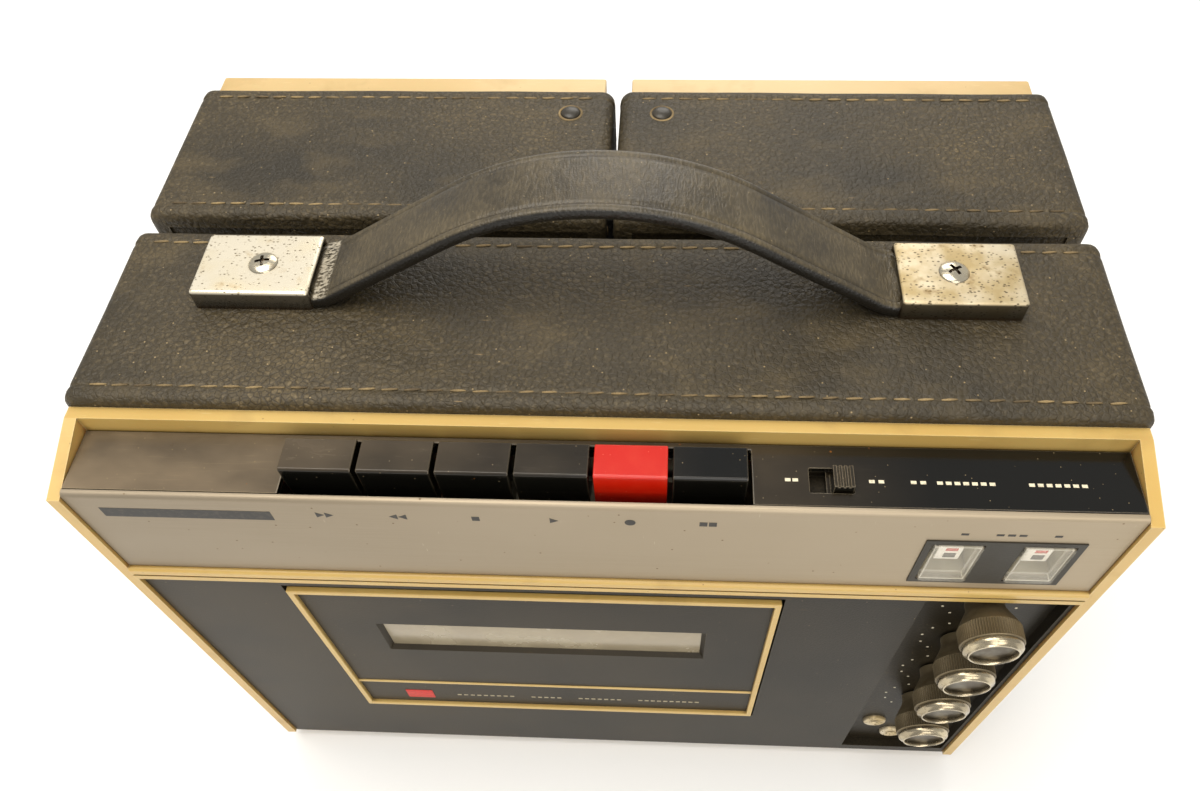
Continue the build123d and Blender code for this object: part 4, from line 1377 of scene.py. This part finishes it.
    def screws(self, palette: Palette) -> None:
        """Two oval heads, each with a cross recess cut by planes and pushed down.

        Args:
            palette: The materials.
        """
        bm = bmesh.new()
        shank, under = 2.0 * MM, -0.2 * MM
        outline = dome(self.head_radius, self.head_rise, 9)
        outline += [(self.head_radius, under), (shank, under), (shank, -9 * MM), (0, -9 * MM)]
        turned_into(bm, outline, Vector(), UPWARD, 40)
        bmesh.ops.remove_doubles(bm, verts=bm.verts, dist=MERGE)
        cut_across(bm, Vector(), (-self.slot_reach, -self.slot_half, self.slot_half, self.slot_reach))
        cross = []
        for face in bm.faces:
            spot = face.calc_center_median()
            narrow, wide = sorted((abs(spot.x), abs(spot.y)))
            if spot.z > 0 and narrow < self.slot_half and wide < self.slot_reach:
                cross.append(face)
        made = bmesh.ops.extrude_face_region(bm, geom=cross)["geom"]
        bmesh.ops.delete(bm, geom=cross, context="FACES_ONLY")
        bmesh.ops.translate(bm, vec=-UPWARD * self.slot_depth, verts=verts_of(made))
        bmesh.ops.scale(bm, vec=(self.slot_taper, self.slot_taper, 1), verts=verts_of(made))
        first = bm.verts[:]
        copies = verts_of(bmesh.ops.duplicate(bm, geom=first + bm.edges[:] + bm.faces[:])["geom"])
        for verts, sign, turn in zip((first, copies), (-1, 1), self.slot_turns):
            spot = Matrix.Translation(self.screw_spot(sign) - UPWARD * self.dish)
            bmesh.ops.transform(bm, matrix=spot @ Matrix.Rotation(math.radians(turn), 4, "Z"), verts=verts)
        fit(finished("strap_screws", bm, 35), "recorder", Slot.SCREW, palette, "handle_screws")


# ---------------------------------------------------------------- knobs, sockets and printed marks
@dataclass
class Knobs:
    """Four turned knobs with knurled bands, and the pale ticks round them."""

    count: int = 4
    teeth: int = 72
    cut: float = 0.4 * MM
    knurl: tuple[float, float] = (3.5 * MM, 8.5 * MM)
    steps: int = 72
    cap_radius: float = 7.1 * MM
    cap_depth: float = 1.5 * MM
    groove: float = 0.08 * MM
    grooves: int = 12
    tick_radius: float = 12.4 * MM
    ticks: int = 11
    sweep: float = math.radians(280)

    def outline(self) -> list[tuple[float, float]]:
        """The skirt's section.

        Returns:
            Radii and depths behind the knob's front.
        """
        points = [(7.5, 2.2), (8.8, 2.2), (8.95, 3.0), (9.45, 3.15), (9.65, 3.4), (9.7, 3.8), (9.7, 8.4),
                  (9.5, 8.8), (9.0, 9.8), (8.2, 11.1), (7.4, 12.4), (6.8, 13.5), (6.2, 14.6), (6.0, 15.6),
                  (6.0, 17.6), (3.0, 17.6), (3.0, 26.8), (0.0, 26.8)]
        return [(radius * MM, depth * MM) for radius, depth in points]

    def build(self, palette: Palette) -> None:
        """Make each knob where its CAD node is, with its ticks.

        Args:
            palette: The materials.
        """
        for index in range(1, self.count + 1):
            node = f"knob_{index}"
            low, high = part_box(node)
            front = Vector(((low.x + high.x) / 2, low.y, (low.z + high.z) / 2))
            self.skirt(palette, node, front)
            self.rim(palette, node, front)
            self.ticks_round(palette, index, front)

    def skirt(self, palette: Palette, node: str, front: Vector) -> None:
        """Turn the knob's body and cut its knurl.

        Args:
            palette: The materials.
            node: Its CAD node, which is its body's name too.
            front: Middle of its front face.
        """
        bm = bmesh.new()
        turned_into(bm, self.outline(), front, BACKWARD, self.teeth * 2)
        for vert in bm.verts:
            spoke = Vector((vert.co.x - front.x, 0, vert.co.z - front.z))
            depth = vert.co.y - front.y
            place = round(math.atan2(spoke.x, spoke.z) / (math.pi / self.teeth))
            if self.knurl[0] < depth < self.knurl[1] and place % 2:
                vert.co -= spoke.normalized() * self.cut
        fit(finished(f"{node}_skirt", bm, 30), node, Slot.KNOB, palette, node)

    def rim(self, palette: Palette, node: str, front: Vector) -> None:
        """The bright ring and the sunk, spun cap inside it.

        Args:
            palette: The materials.
            node: Its body's name.
            front: Middle of its front face.
        """
        bm = bmesh.new()
        rings = [(7.4, 2.4), (7.0, 0.9), (7.05, 0.25), (7.25, 0.0), (7.6, 0.1), (7.75, 0.5), (7.85, 0.8),
                 (8.75, 1.25), (9.0, 1.6), (9.1, 2.4), (9.0, 3.0)]
        turned_into(bm, [(radius * MM, depth * MM) for radius, depth in rings], front, BACKWARD, self.steps)
        fit(finished(f"{node}_ring", bm, 50), node, Slot.KNOB, palette.bright)
        bm = bmesh.new()
        disc = [(self.cap_radius * line / self.grooves, self.cap_depth + self.groove * (line % 2))
                for line in range(self.grooves + 1)]
        turned_into(bm, disc, front, BACKWARD, self.steps)
        fit(finished(f"{node}_cap", bm, 20), node, Slot.KNOB, palette.dull)

    def ticks_round(self, palette: Palette, index: int, front: Vector) -> None:
        """Pale dots on the sunk strip, one for each step of the knob.

        Args:
            palette: The materials.
            index: The knob's number.
            front: Middle of its front face.
        """
        bm = bmesh.new()
        for tick in range(self.ticks):
            angle = self.sweep * (tick / (self.ticks - 1) - 0.5)
            spot = Vector((front.x + self.tick_radius * math.sin(angle), STRIP_Y,
                           front.z + self.tick_radius * math.cos(angle)))
            bmesh.ops.create_cone(bm, cap_ends=True, segments=10, radius1=0.5 * MM, radius2=0.42 * MM,
                                  depth=0.12 * MM, matrix=Matrix.Translation(spot) @ UPRIGHT)
        fit(finished(f"knob_ticks_{index}", bm), "recorder", Slot.PANEL, palette.ink_pale)


@dataclass
class Sockets:
    """Two microphone sockets: domed ring nuts with a dark bore."""

    ring: float = 4.7 * MM
    bore: float = 1.8 * MM

    def build(self, palette: Palette) -> None:
        """Turn both where the CAD has them.

        Args:
            palette: The materials.
        """
        low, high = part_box("jack_sockets")
        left = Vector((low.x + self.ring, STRIP_Y, high.z - self.ring))
        right = Vector((high.x - self.ring, STRIP_Y, low.z + self.ring))
        bm = bmesh.new()
        r, b = self.ring, self.bore
        outline = [(b, 13 * MM), (b, -0.7 * MM), (b + 0.4 * MM, -1.25 * MM), (b + 1.0 * MM, -1.6 * MM),
                   (r - 0.9 * MM, -1.6 * MM), (r - 0.3 * MM, -1.25 * MM), (r, -0.6 * MM), (r, 0),
                   (3.2 * MM, 0), (3.2 * MM, 15 * MM), (0, 15 * MM), (0, 13 * MM)]
        for spot in (left, right):
            turned_into(bm, outline, spot, BACKWARD, 48)
        fit(finished("socket_nuts", bm), "recorder", Slot.CHROME, palette, "jack_sockets")


class Mark(Enum):
    """Plain control marks: sides of the shape, how many, and whether they point left."""

    FORWARD = (3, 2, False)
    BACK = (3, 2, True)
    SQUARE = (4, 1, False)
    ARROW = (3, 1, False)
    DOT = (20, 1, False)
    PAIR = (4, 2, False)


@dataclass
class Marks:
    """Printed marks on fascia, deck and door: plain shapes and dashes, and the door's pane.

    Runs of dashes are in millimetres along X, from the middle on the deck and from the frame's left
    side on the door. A half size has the mark's lift where it is printed.
    """

    lift: float = 0.05 * MM
    size: float = 1.5 * MM
    drop: float = 7.4 * MM
    keys: tuple[tuple[str, Mark], ...] = (
        ("key_fast_forward", Mark.FORWARD), ("key_rewind", Mark.BACK), ("key_stop", Mark.SQUARE),
        ("key_play", Mark.ARROW), ("key_record", Mark.DOT), ("key_eject", Mark.PAIR),
    )
    tilts: tuple[tuple[int, float], ...] = ((3, 270), (4, 45))
    plate_x: float = 32.0 * MM
    plate_drop: float = 8.6 * MM
    plate_half: tuple[float, float] = (24.0 * MM, 2.3 * MM)
    tick_rise: float = 3.6 * MM
    tick_half: tuple[float, float] = (1.0 * MM, 0.5 * MM)
    ticks: tuple[float, ...] = (-12.3 * MM, -3.0 * MM, 0.0, 3.0 * MM, 12.3 * MM)
    deck_runs: tuple[tuple[float, float], ...] = ((51, 55), (73, 78), (84, 89), (91, 107), (115, 131))
    deck_pitch: float = 2.4
    deck_half: tuple[float, float] = (0.75 * MM, 0.5 * MM)
    door_runs: tuple[tuple[float, float], ...] = ((38, 62), (68, 81), (87, 105), (111, 136))
    door_pitch: float = 2.6
    door_half: tuple[float, float] = (0.8 * MM, 0.55 * MM)
    door_rise: float = 10.6 * MM
    field_depth: float = 1.7 * MM
    tab_x: float = 23.5 * MM
    tab_half: tuple[float, float, float] = (5.4 * MM, 0.25 * MM, 4.0 * MM)

    def build(self, palette: Palette) -> None:
        """Print all the marks and set the pane in the door.

        Args:
            palette: The materials.
        """
        self.key_marks(palette)
        self.fascia_bars(palette)
        self.deck_bars(palette)
        self.door_marks(palette)
        bm = bmesh.new()
        box_into(bm, *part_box("door_window"), 0.3 * MM)
        fit(finished("door_pane", bm), "cassette_door", Slot.PANE, palette, "door_window")

    def dash(self, bm: bmesh.types.BMesh, middle: Vector, half: Sequence[float], bevel: float = 0.0) -> None:
        """Add one flat bar.

        Args:
            bm: The mesh that it joins.
            middle: Its middle.
            half: Half of its size along X, Y and Z.
            bevel: Edge radius.
        """
        reach = Vector(half)
        box_into(bm, middle - reach, middle + reach, bevel)

    def spots(self, runs: Sequence[tuple[float, float]], pitch: float) -> list[float]:
        """Where the dashes of some runs have their middles.

        Args:
            runs: Start and end of each run in millimetres.
            pitch: Distance from dash to dash in millimetres, fitted to the run.

        Returns:
            Places along X in metres.
        """
        places = []
        for start, end in runs:
            count = round((end - start) / pitch)
            places += [(start + (end - start) * (index + 0.5) / count) * MM for index in range(count)]
        return places

    def key_marks(self, palette: Palette) -> None:
        """One small mark under each key, on the fascia.

        Args:
            palette: The materials.
        """
        low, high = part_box("silver_panel")
        bm = bmesh.new()
        for node, mark in self.keys:
            first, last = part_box(node)
            sides, count, back = mark.value
            tilt = math.radians(dict(self.tilts).get(sides, 0) + (180 if back else 0))
            for index in range(count):
                shift = (index - (count - 1) / 2) * self.size * 1.7
                spot = Vector(((first.x + last.x) / 2 + shift, low.y, high.z - self.drop))
                matrix = Matrix.Translation(spot) @ UPRIGHT @ Matrix.Rotation(tilt, 4, "Z")
                bmesh.ops.create_cone(bm, cap_ends=True, segments=sides, radius1=self.size, radius2=self.size,
                                      depth=self.lift * 2, matrix=matrix)
        fit(finished("key_marks", bm), "recorder", Slot.FASCIA, palette.ink_dark)

    def fascia_bars(self, palette: Palette) -> None:
        """A dark plate at the fascia's left end, and ticks over the meters.

        Args:
            palette: The materials.
        """
        low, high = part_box("silver_panel")
        plate_low, plate_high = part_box("meter_plate")
        bm = bmesh.new()
        width, height = self.plate_half
        spot = Vector((low.x + self.plate_x, low.y, high.z - self.plate_drop))
        self.dash(bm, spot, (width, self.lift, height))
        width, height = self.tick_half
        for tick in self.ticks:
            spot = Vector(((plate_low.x + plate_high.x) / 2 + tick, low.y, plate_high.z + self.tick_rise))
            self.dash(bm, spot, (width, self.lift, height))
        fit(finished("fascia_bars", bm), "recorder", Slot.FASCIA, palette.ink_dark)

    def deck_bars(self, palette: Palette) -> None:
        """Pale dashes in line with the slide switch, on the deck.

        Args:
            palette: The materials.
        """
        low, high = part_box("monitor_slider")
        deck_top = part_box("key_deck")[1].z
        bm = bmesh.new()
        for x in self.spots(self.deck_runs, self.deck_pitch):
            self.dash(bm, Vector((x, (low.y + high.y) / 2, deck_top)), (*self.deck_half, self.lift))
        fit(finished("deck_bars", bm), "recorder", Slot.DECK, palette.ink_pale)

    def door_marks(self, palette: Palette) -> None:
        """A small red tab and a row of grey dashes in the door's lower strip.

        Args:
            palette: The materials.
        """
        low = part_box("door_trim")[0]
        start = Vector((low.x, FACE_Y + self.field_depth, low.z + self.door_rise))
        bm = bmesh.new()
        self.dash(bm, start + SIDEWAYS * self.tab_x, self.tab_half, 0.2 * MM)
        fit(finished("door_tab", bm), "cassette_door", Slot.PANEL, palette.ink_red)
        bm = bmesh.new()
        width, height = self.door_half
        for x in self.spots(self.door_runs, self.door_pitch):
            self.dash(bm, start + SIDEWAYS * x, (width, self.lift, height))
        fit(finished("door_lines", bm), "cassette_door", Slot.PANEL, palette.ink_grey)


# ---------------------------------------------------------------- meters
@dataclass
class Meters:
    """Two level meters: clear covers over a white flag with a red and a black patch.

    A patch is its rise over the flag's middle and half of its height.
    """

    pitch: float = 24.6 * MM
    flag: tuple[float, float, float] = (7.0 * MM, 0.8 * MM, 7.0 * MM)
    flag_depth: float = 3.7 * MM
    flag_rise: float = 0.6 * MM
    red_patch: tuple[float, float] = (2.3 * MM, 0.8 * MM)
    black_patch: tuple[float, float] = (-1.0 * MM, 1.3 * MM)
    patch_x: float = 0.4 * MM
    patch_half: float = 1.7 * MM
    patch_lift: float = 0.06 * MM
    cover_half: tuple[float, float] = (6.9 * MM, 10.1 * MM)
    cover_depths: tuple[float, float] = (-0.6 * MM, 3.2 * MM)
    cover_wall: float = 0.8 * MM
    cover_front: float = 1.0 * MM
    cover_edge: float = 1.0 * MM

    def build(self, palette: Palette) -> None:
        """Stand a flag in both wells and cover them.

        Args:
            palette: The materials.
        """
        low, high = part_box("meter_plate")
        middle = (low + high) / 2
        white, red, black, lens = (bmesh.new() for _ in range(4))
        half = Vector(self.flag) / 2
        for sign in (-1, 1):
            x = middle.x + sign * self.pitch / 2
            spot = Vector((x, FACE_Y + self.flag_depth, middle.z + self.flag_rise))
            box_into(white, spot - half, spot + half, 0.3 * MM)
            for bm, (rise, height) in ((red, self.red_patch), (black, self.black_patch)):
                centre = spot + Vector((self.patch_x, -half.y, rise))
                reach = Vector((self.patch_half, self.patch_lift, height))
                box_into(bm, centre - reach, centre + reach)
            self.cover(lens, x, middle.z)
        fit(finished("meter_flags", white), "recorder", Slot.DIAL, palette.scale_white)
        fit(finished("meter_patches_red", red), "recorder", Slot.DIAL, palette.ink_red)
        fit(finished("meter_patches_black", black), "recorder", Slot.DIAL, palette.ink_dark)
        fit(finished("meter_covers", lens, 60), "recorder", Slot.CLEAR, palette, "meter_lenses")

    def cover(self, bm: bmesh.types.BMesh, x: float, z: float) -> None:
        """A hollow clear cover with rounded front edges.

        Args:
            bm: The mesh that it joins.
            x: Middle of the cover.
            z: Middle height of the cover.
        """
        width, height = self.cover_half
        front, back = (FACE_Y + depth for depth in self.cover_depths)
        verts = cube_into(bm, Vector((x - width, front, z - height)), Vector((x + width, back, z + height)))
        faces = dict.fromkeys(face for vert in verts for face in vert.link_faces)
        open_side = max(faces, key=lambda face: face.calc_center_median().y)
        stay_sharp = set(open_side.edges)
        edges = dict.fromkeys(edge for face in faces for edge in face.edges if edge not in stay_sharp)
        bmesh.ops.inset_region(bm, faces=[open_side], thickness=self.cover_wall)
        pushed = bmesh.ops.extrude_discrete_faces(bm, faces=[open_side])["faces"]
        bmesh.ops.translate(bm, vec=BACKWARD * (front + self.cover_front - back), verts=pushed[0].verts)
        round_edges(bm, edges, self.cover_edge, 4)


# ---------------------------------------------------------------- speakers
@dataclass
class Speaker:
    """One lift-off speaker: wrapped box, keyholed front board, driver and rivet."""

    side: str
    sign: int
    board_inset: float = 4.6 * MM
    board_front: float = 0.6 * MM
    board_thickness: float = 5.4 * MM
    inner_hook: float = 40.0 * MM
    hook_radius: float = 2.6 * MM
    head_radius: float = 5.5 * MM
    lift: float = 14.0 * MM
    driver_radius: float = 52.0 * MM
    dust_cap: float = 13.0 * MM
    surround: float = 3.5 * MM
    magnet: float = 28.0 * MM
    paper: float = 0.5 * MM
    baffle_inset: float = 5.9 * MM
    baffle_lap: float = 3.0 * MM
    baffle_gap: float = 0.1 * MM
    baffle_thickness: float = 3.0 * MM
    rivet_radius: float = 3.3 * MM
    rivet_shank: float = 1.5 * MM

    def build(self, palette: Palette) -> None:
        """Make the box, its board, its driver and its rivet.

        Args:
            palette: The materials.
        """
        node = f"speaker_shell_{self.side}"
        low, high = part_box(node)
        body = f"speaker_{self.side}"
        WrappedBand(node, f"speaker_wrap_{self.side}", body, (low.y, high.y)).build(palette)
        self.front_board(palette, body, low, high)
        self.driver(palette, body)
        self.baffle(palette, body, low, high)
        self.rivet(palette, body)

    def front_board(self, palette: Palette, body: str, low: Vector, high: Vector) -> None:
        """The board that faces the recorder, with its two keyholes.

        Args:
            palette: The materials.
            body: The speaker's body.
            low: Lowest corner of the box.
            high: Highest corner of the box.
        """
        bm = bmesh.new()
        left, right = low.x + self.board_inset, high.x - self.board_inset
        floor, top = low.z + self.board_inset, high.z - self.board_inset
        hook_low, hook_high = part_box("speaker_hooks")
        hook_z = (hook_low.z + hook_high.z) / 2
        outer_hook = hook_high.x - (hook_high.z - hook_low.z) / 2
        loops = [[(left, floor), (right, floor), (right, top), (left, top)]]
        loops += [self.keyhole(self.sign * x, hook_z) for x in (outer_hook, self.inner_hook)]
        for loop in loops:
            verts = [bm.verts.new((x, low.y + self.board_front, z)) for x, z in loop]
            for index, vert in enumerate(verts):
                bm.edges.new((vert, verts[(index + 1) % len(verts)]))
        board_from(bm, self.board_thickness)
        fit(finished(f"speaker_board_{self.side}", bm), body, Slot.LEATHERETTE, palette)

    def keyhole(self, x: float, z: float) -> list[tuple[float, float]]:
        """Outline of a keyhole: a narrow slot over a wide round hole.

        Args:
            x: Its middle.
            z: Height of the hook.

        Returns:
            Points of x and z, once round.
        """
        def arc(radius: float, height: float, degrees: Iterable[float]) -> list[tuple[float, float]]:
            """Points of an arc about a spot under or at the hook."""
            turns = [math.radians(angle) for angle in degrees]
            return [(x + radius * math.cos(turn), height + radius * math.sin(turn)) for turn in turns]

        steps = 20
        start = math.degrees(math.asin(self.hook_radius / self.head_radius))
        wide = [90 + start + (360 - 2 * start) * step / steps for step in range(steps + 1)]
        return arc(self.hook_radius, z, range(0, 181, 15)) + arc(self.head_radius, z - self.lift, wide)

    def driver(self, palette: Palette, body: str) -> None:
        """Paper cone with a rolled surround, and the steel basket with its magnet.

        Args:
            palette: The materials.
            body: The speaker's body.
        """
        node = f"speaker_driver_{self.side}"
        low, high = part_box(node)
        centre = Vector(((low.x + high.x) / 2, high.y, (low.z + high.z) / 2))
        rim = self.driver_radius
        cap = [(radius, height - 17 * MM) for radius, height in dome(self.dust_cap, 4 * MM, 15)]
        cone = [(14 * MM, -17.4 * MM), (22 * MM, -13.5 * MM), (31 * MM, -9.0 * MM),
                (rim - 10 * MM, -4.2 * MM)]
        turns = [math.radians(degrees) for degrees in range(20, 181, 20)]
        roll = [(rim - 6.5 * MM - self.surround * math.cos(turn), (3.0 * math.sin(turn) - 4.2) * MM)
                for turn in turns]
        flange = [(rim - 1.5 * MM, -1.6 * MM), (rim - 0.2 * MM, -1.6 * MM)]
        bm = bmesh.new()
        turned_into(bm, cap + cone + roll + flange, centre, BACKWARD, 72)
        cone_piece = finished(f"speaker_cone_{self.side}", bm)
        skin = cone_piece.modifiers.new("paper", "SOLIDIFY")
        skin.thickness = self.paper
        skin.offset = 0
        fit(cone_piece, body, Slot.CONE, palette, node)
        depth, neck = low.y - high.y, self.magnet - 2 * MM
        basket = [(rim, -0.2 * MM), (rim, -1.4 * MM), (rim - 5 * MM, -3.4 * MM), (neck, -22 * MM),
                  (neck, -23.5 * MM), (self.magnet, -24.2 * MM), (self.magnet, depth + 3 * MM),
                  (self.magnet - 1.5 * MM, depth), (0, depth)]
        inner = [(0, -19.5 * MM), (24 * MM, -19.5 * MM), (rim - 5.5 * MM, -2.6 * MM),
                 (rim - 4 * MM, -0.9 * MM), (rim, -0.2 * MM)]
        bm = bmesh.new()
        for outline in (basket, inner):
            turned_into(bm, outline, centre, BACKWARD, 72)
        fit(finished(f"speaker_basket_{self.side}", bm), body, Slot.ZINC, palette)

    def baffle(self, palette: Palette, body: str, low: Vector, high: Vector) -> None:
        """The dark board behind the grille, with a round opening for the cone.

        Args:
            palette: The materials.
            body: The speaker's body.
            low: Lowest corner of the box.
            high: Highest corner of the box.
        """
        rim_low, rim_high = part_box(f"speaker_driver_{self.side}")
        centre, middle, size = (rim_low + rim_high) / 2, (low + high) / 2, high - low
        front = rim_high.y + self.baffle_gap
        sheet = Matrix.Diagonal((size.x - 2 * self.baffle_inset, size.z - 2 * self.baffle_inset, 1, 1))
        outer = Matrix.Translation((middle.x, front, middle.z)) @ UPRIGHT @ sheet
        hole = Matrix.Translation((centre.x, front, centre.z)) @ UPRIGHT
        bm = bmesh.new()
        bmesh.ops.create_grid(bm, x_segments=1, y_segments=1, size=0.5, matrix=outer)
        bmesh.ops.create_circle(bm, cap_ends=False, segments=64, radius=self.driver_radius - self.baffle_lap,
                                matrix=hole)
        bmesh.ops.delete(bm, geom=bm.faces[:], context="FACES_ONLY")
        board_from(bm, self.baffle_thickness)
        fit(finished(f"speaker_baffle_{self.side}", bm), body, Slot.CONE, palette)

    def rivet(self, palette: Palette, body: str) -> None:
        """A domed rivet in a worn ring, in the top of the box.

        Args:
            palette: The materials.
            body: The speaker's body.
        """
        node = f"speaker_stud_{self.side}"
        low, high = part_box(node)
        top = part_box(f"speaker_shell_{self.side}")[1].z
        spot = Vector(((low.x + high.x) / 2, (low.y + high.y) / 2, top))
        seat, foot = -0.6 * MM, low.z - top
        outline = dome(self.rivet_radius, high.z - top, 10)
        outline += [(self.rivet_radius, seat), (self.rivet_shank, seat), (self.rivet_shank, foot), (0, foot)]
        bm = bmesh.new()
        turned_into(bm, outline, spot, UPWARD, 36)
        fit(finished(f"speaker_rivet_{self.side}", bm), body, Slot.RIVET, palette, node)
        bm = bmesh.new()
        ring = [(3.5, -0.5), (3.5, 0.1), (3.8, 0.3), (4.2, 0.1), (4.4, -0.4)]
        turned_into(bm, [(radius * MM, height * MM) for radius, height in ring], spot, UPWARD, 36)
        fit(finished(f"speaker_rivet_ring_{self.side}", bm), body, Slot.RIVET, palette.thread)


# ---------------------------------------------------------------- pieces that keep their CAD shape
@dataclass
class BrokenEdges:
    """CAD shapes that are right as they are, given broken edges: node to edge radius in millimetres.

    An edge over the fine radius is rounded in three steps, a finer one in two.
    """

    radii: dict[str, float] = field(default_factory=lambda: {
        "front_bezel": 0.35, "key_deck": 0.3, "silver_panel": 0.12, "front_panel": 0.25, "door_panel": 0.2,
        "door_trim": 0.35, "monitor_slider": 0.15, "switch_body": 0.3, "meter_plate": 0.06,
        "meter_housings": 0.2, "meter_dials": 0.1, "meter_needle_left": 0.05, "meter_needle_right": 0.05,
        "control_pots": 0.2, "key_shaft": 0.2, "cassette_carrier": 0.4, "chassis_plate": 0.15,
        "head_plate": 0.2, "tape_heads": 0.2, "pinch_roller": 0.3, "flywheel": 0.25, "motor": 0.4,
        "motor_pulley": 0.2, "drive_belt": 0.1, "reel_spindle_supply": 0.2, "reel_spindle_takeup": 0.2,
        "circuit_board": 0.15, "back_cover": 0.4, "speaker_hooks": 0.3, "rubber_feet": 0.4,
        "speaker_frame_left": 0.5, "speaker_frame_right": 0.5, "speaker_grille_left": 0.0,
        "speaker_grille_right": 0.0, "speaker_feet_left": 0.4, "speaker_feet_right": 0.4,
    })
    key_edge: float = 0.55
    fine: float = 0.3

    def build(self, palette: Palette) -> None:
        """Copy, merge and dress each node.

        Args:
            palette: The materials.
        """
        slots = {part["node"]: Slot(part["material_slot"]) for part in frame["record"]["subparts"]}
        radii = dict(self.radii)
        radii.update({node: self.key_edge for node in slots if node.startswith("key_") and node not in radii})
        special = {"meter_housings": palette.well, "meter_dials": palette.well, "meter_plate": palette.plate}
        for node, radius in radii.items():
            piece = worked_copy(node, f"{node}_worked", radius, 3 if radius > self.fine else 2)
            body = frame["nodes"][node]["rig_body"]
            fit(piece, body, slots[node], special.get(node, palette), node)


# ---------------------------------------------------------------- floor, light and camera
@dataclass
class Studio:
    """Pale floor, soft lights and the camera.

    A softbox is its name, its place, what it faces, the length of its side and its power in watts.
    """

    eye: Vector = field(default_factory=lambda: Vector((0.0181, -0.20642, 0.42631)))
    right: Vector = field(default_factory=lambda: Vector((0.9988, 0.0417, -0.0238)))
    up: Vector = field(default_factory=lambda: Vector((-0.0215, 0.832, 0.5544)))
    forward: Vector = field(default_factory=lambda: Vector((-0.0429, 0.5532, -0.8319)))
    lens: float = 27.916
    shift: tuple[float, float] = (-0.01775, 0.0484)
    softboxes: tuple[tuple, ...] = (
        ("softbox_top", (-0.25, -0.1, 1.25), (0, 0, 0.15), 0.9, 13.0),
        ("softbox_front", (0.35, -1.15, 0.95), (0, -0.05, 0.1), 1.0, 9.0),
        ("softbox_back", (0.1, 1.2, 0.9), (0, 0.05, 0.2), 0.8, 6.0),
    )
    lamp_colour: str = "#fffaf2"
    air_colour: str = "#fbfbfb"
    air_strength: float = 0.55

    def build(self) -> None:
        """Set up everything that isn't the recorder."""
        self.floor()
        self.camera()
        for name, place, aim, size, power in self.softboxes:
            self.light(name, Vector(place), Vector(aim), size, power)
        world = bpy.data.worlds.new("studio_air")
        bpy.context.scene.world = world
        world.use_nodes = True
        air = world.node_tree.nodes["Background"]
        air.inputs["Color"].default_value = linear(self.air_colour)
        air.inputs["Strength"].default_value = self.air_strength
        bpy.context.scene.view_settings.view_transform = "Standard"

    def floor(self) -> None:
        """One pale sheet under the recorder."""
        bm = bmesh.new()
        bmesh.ops.create_grid(bm, x_segments=1, y_segments=1, size=3.0)
        sheet = finished("floor_sheet", bm)
        s = Surface("pale_paper")
        s.paint("#f6f6f5", (s.mask(Pattern.CLOUD, 300, 0.4, 0.7, 0.4), "#f2f2f0"))
        s.gloss(0.8)
        sheet.data.materials.append(s.material)

    def light(self, name: str, place: Vector, aim: Vector, size: float, power: float) -> None:
        """Hang one square softbox.

        Args:
            name: Its name.
            place: Where it hangs.
            aim: What it faces.
            size: Length of its side.
            power: Its power in watts.
        """
        lamp = bpy.data.lights.new(name, "AREA")
        lamp.size = size
        lamp.energy = power
        lamp.color = linear(self.lamp_colour)[:3]
        box = bpy.data.objects.new(name, lamp)
        box.location = place
        box.rotation_euler = (aim - place).to_track_quat("-Z", "Y").to_euler()
        bpy.context.scene.collection.objects.link(box)

    def camera(self) -> None:
        """The camera, a little to the right of the middle and looking steeply down."""
        lens = bpy.data.cameras.new("view")
        lens.lens = self.lens
        lens.shift_x, lens.shift_y = self.shift
        lens.clip_start = 0.01
        eye = bpy.data.objects.new("view", lens)
        turn = Matrix((self.right, self.up, -self.forward)).transposed().to_4x4()
        eye.matrix_world = Matrix.Translation(self.eye) @ turn
        bpy.context.scene.collection.objects.link(eye)
        bpy.context.scene.camera = eye


def main() -> None:
    """Build every sub-assembly in order."""
    logging.basicConfig(level=logging.INFO, format="%(message)s")
    Studio().build()
    palette = Palette()
    low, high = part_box("cabinet_sleeve")
    WrappedBand("cabinet_sleeve", "case_wrap", "recorder", (low.y, high.y)).build(palette)
    BrokenEdges().build(palette)
    Handle().build(palette)
    Knobs().build(palette)
    Sockets().build(palette)
    Marks().build(palette)
    Meters().build(palette)
    for side, sign in (("left", -1), ("right", 1)):
        Speaker(side, sign).build(palette)


if __name__ == "__main__":
    main()
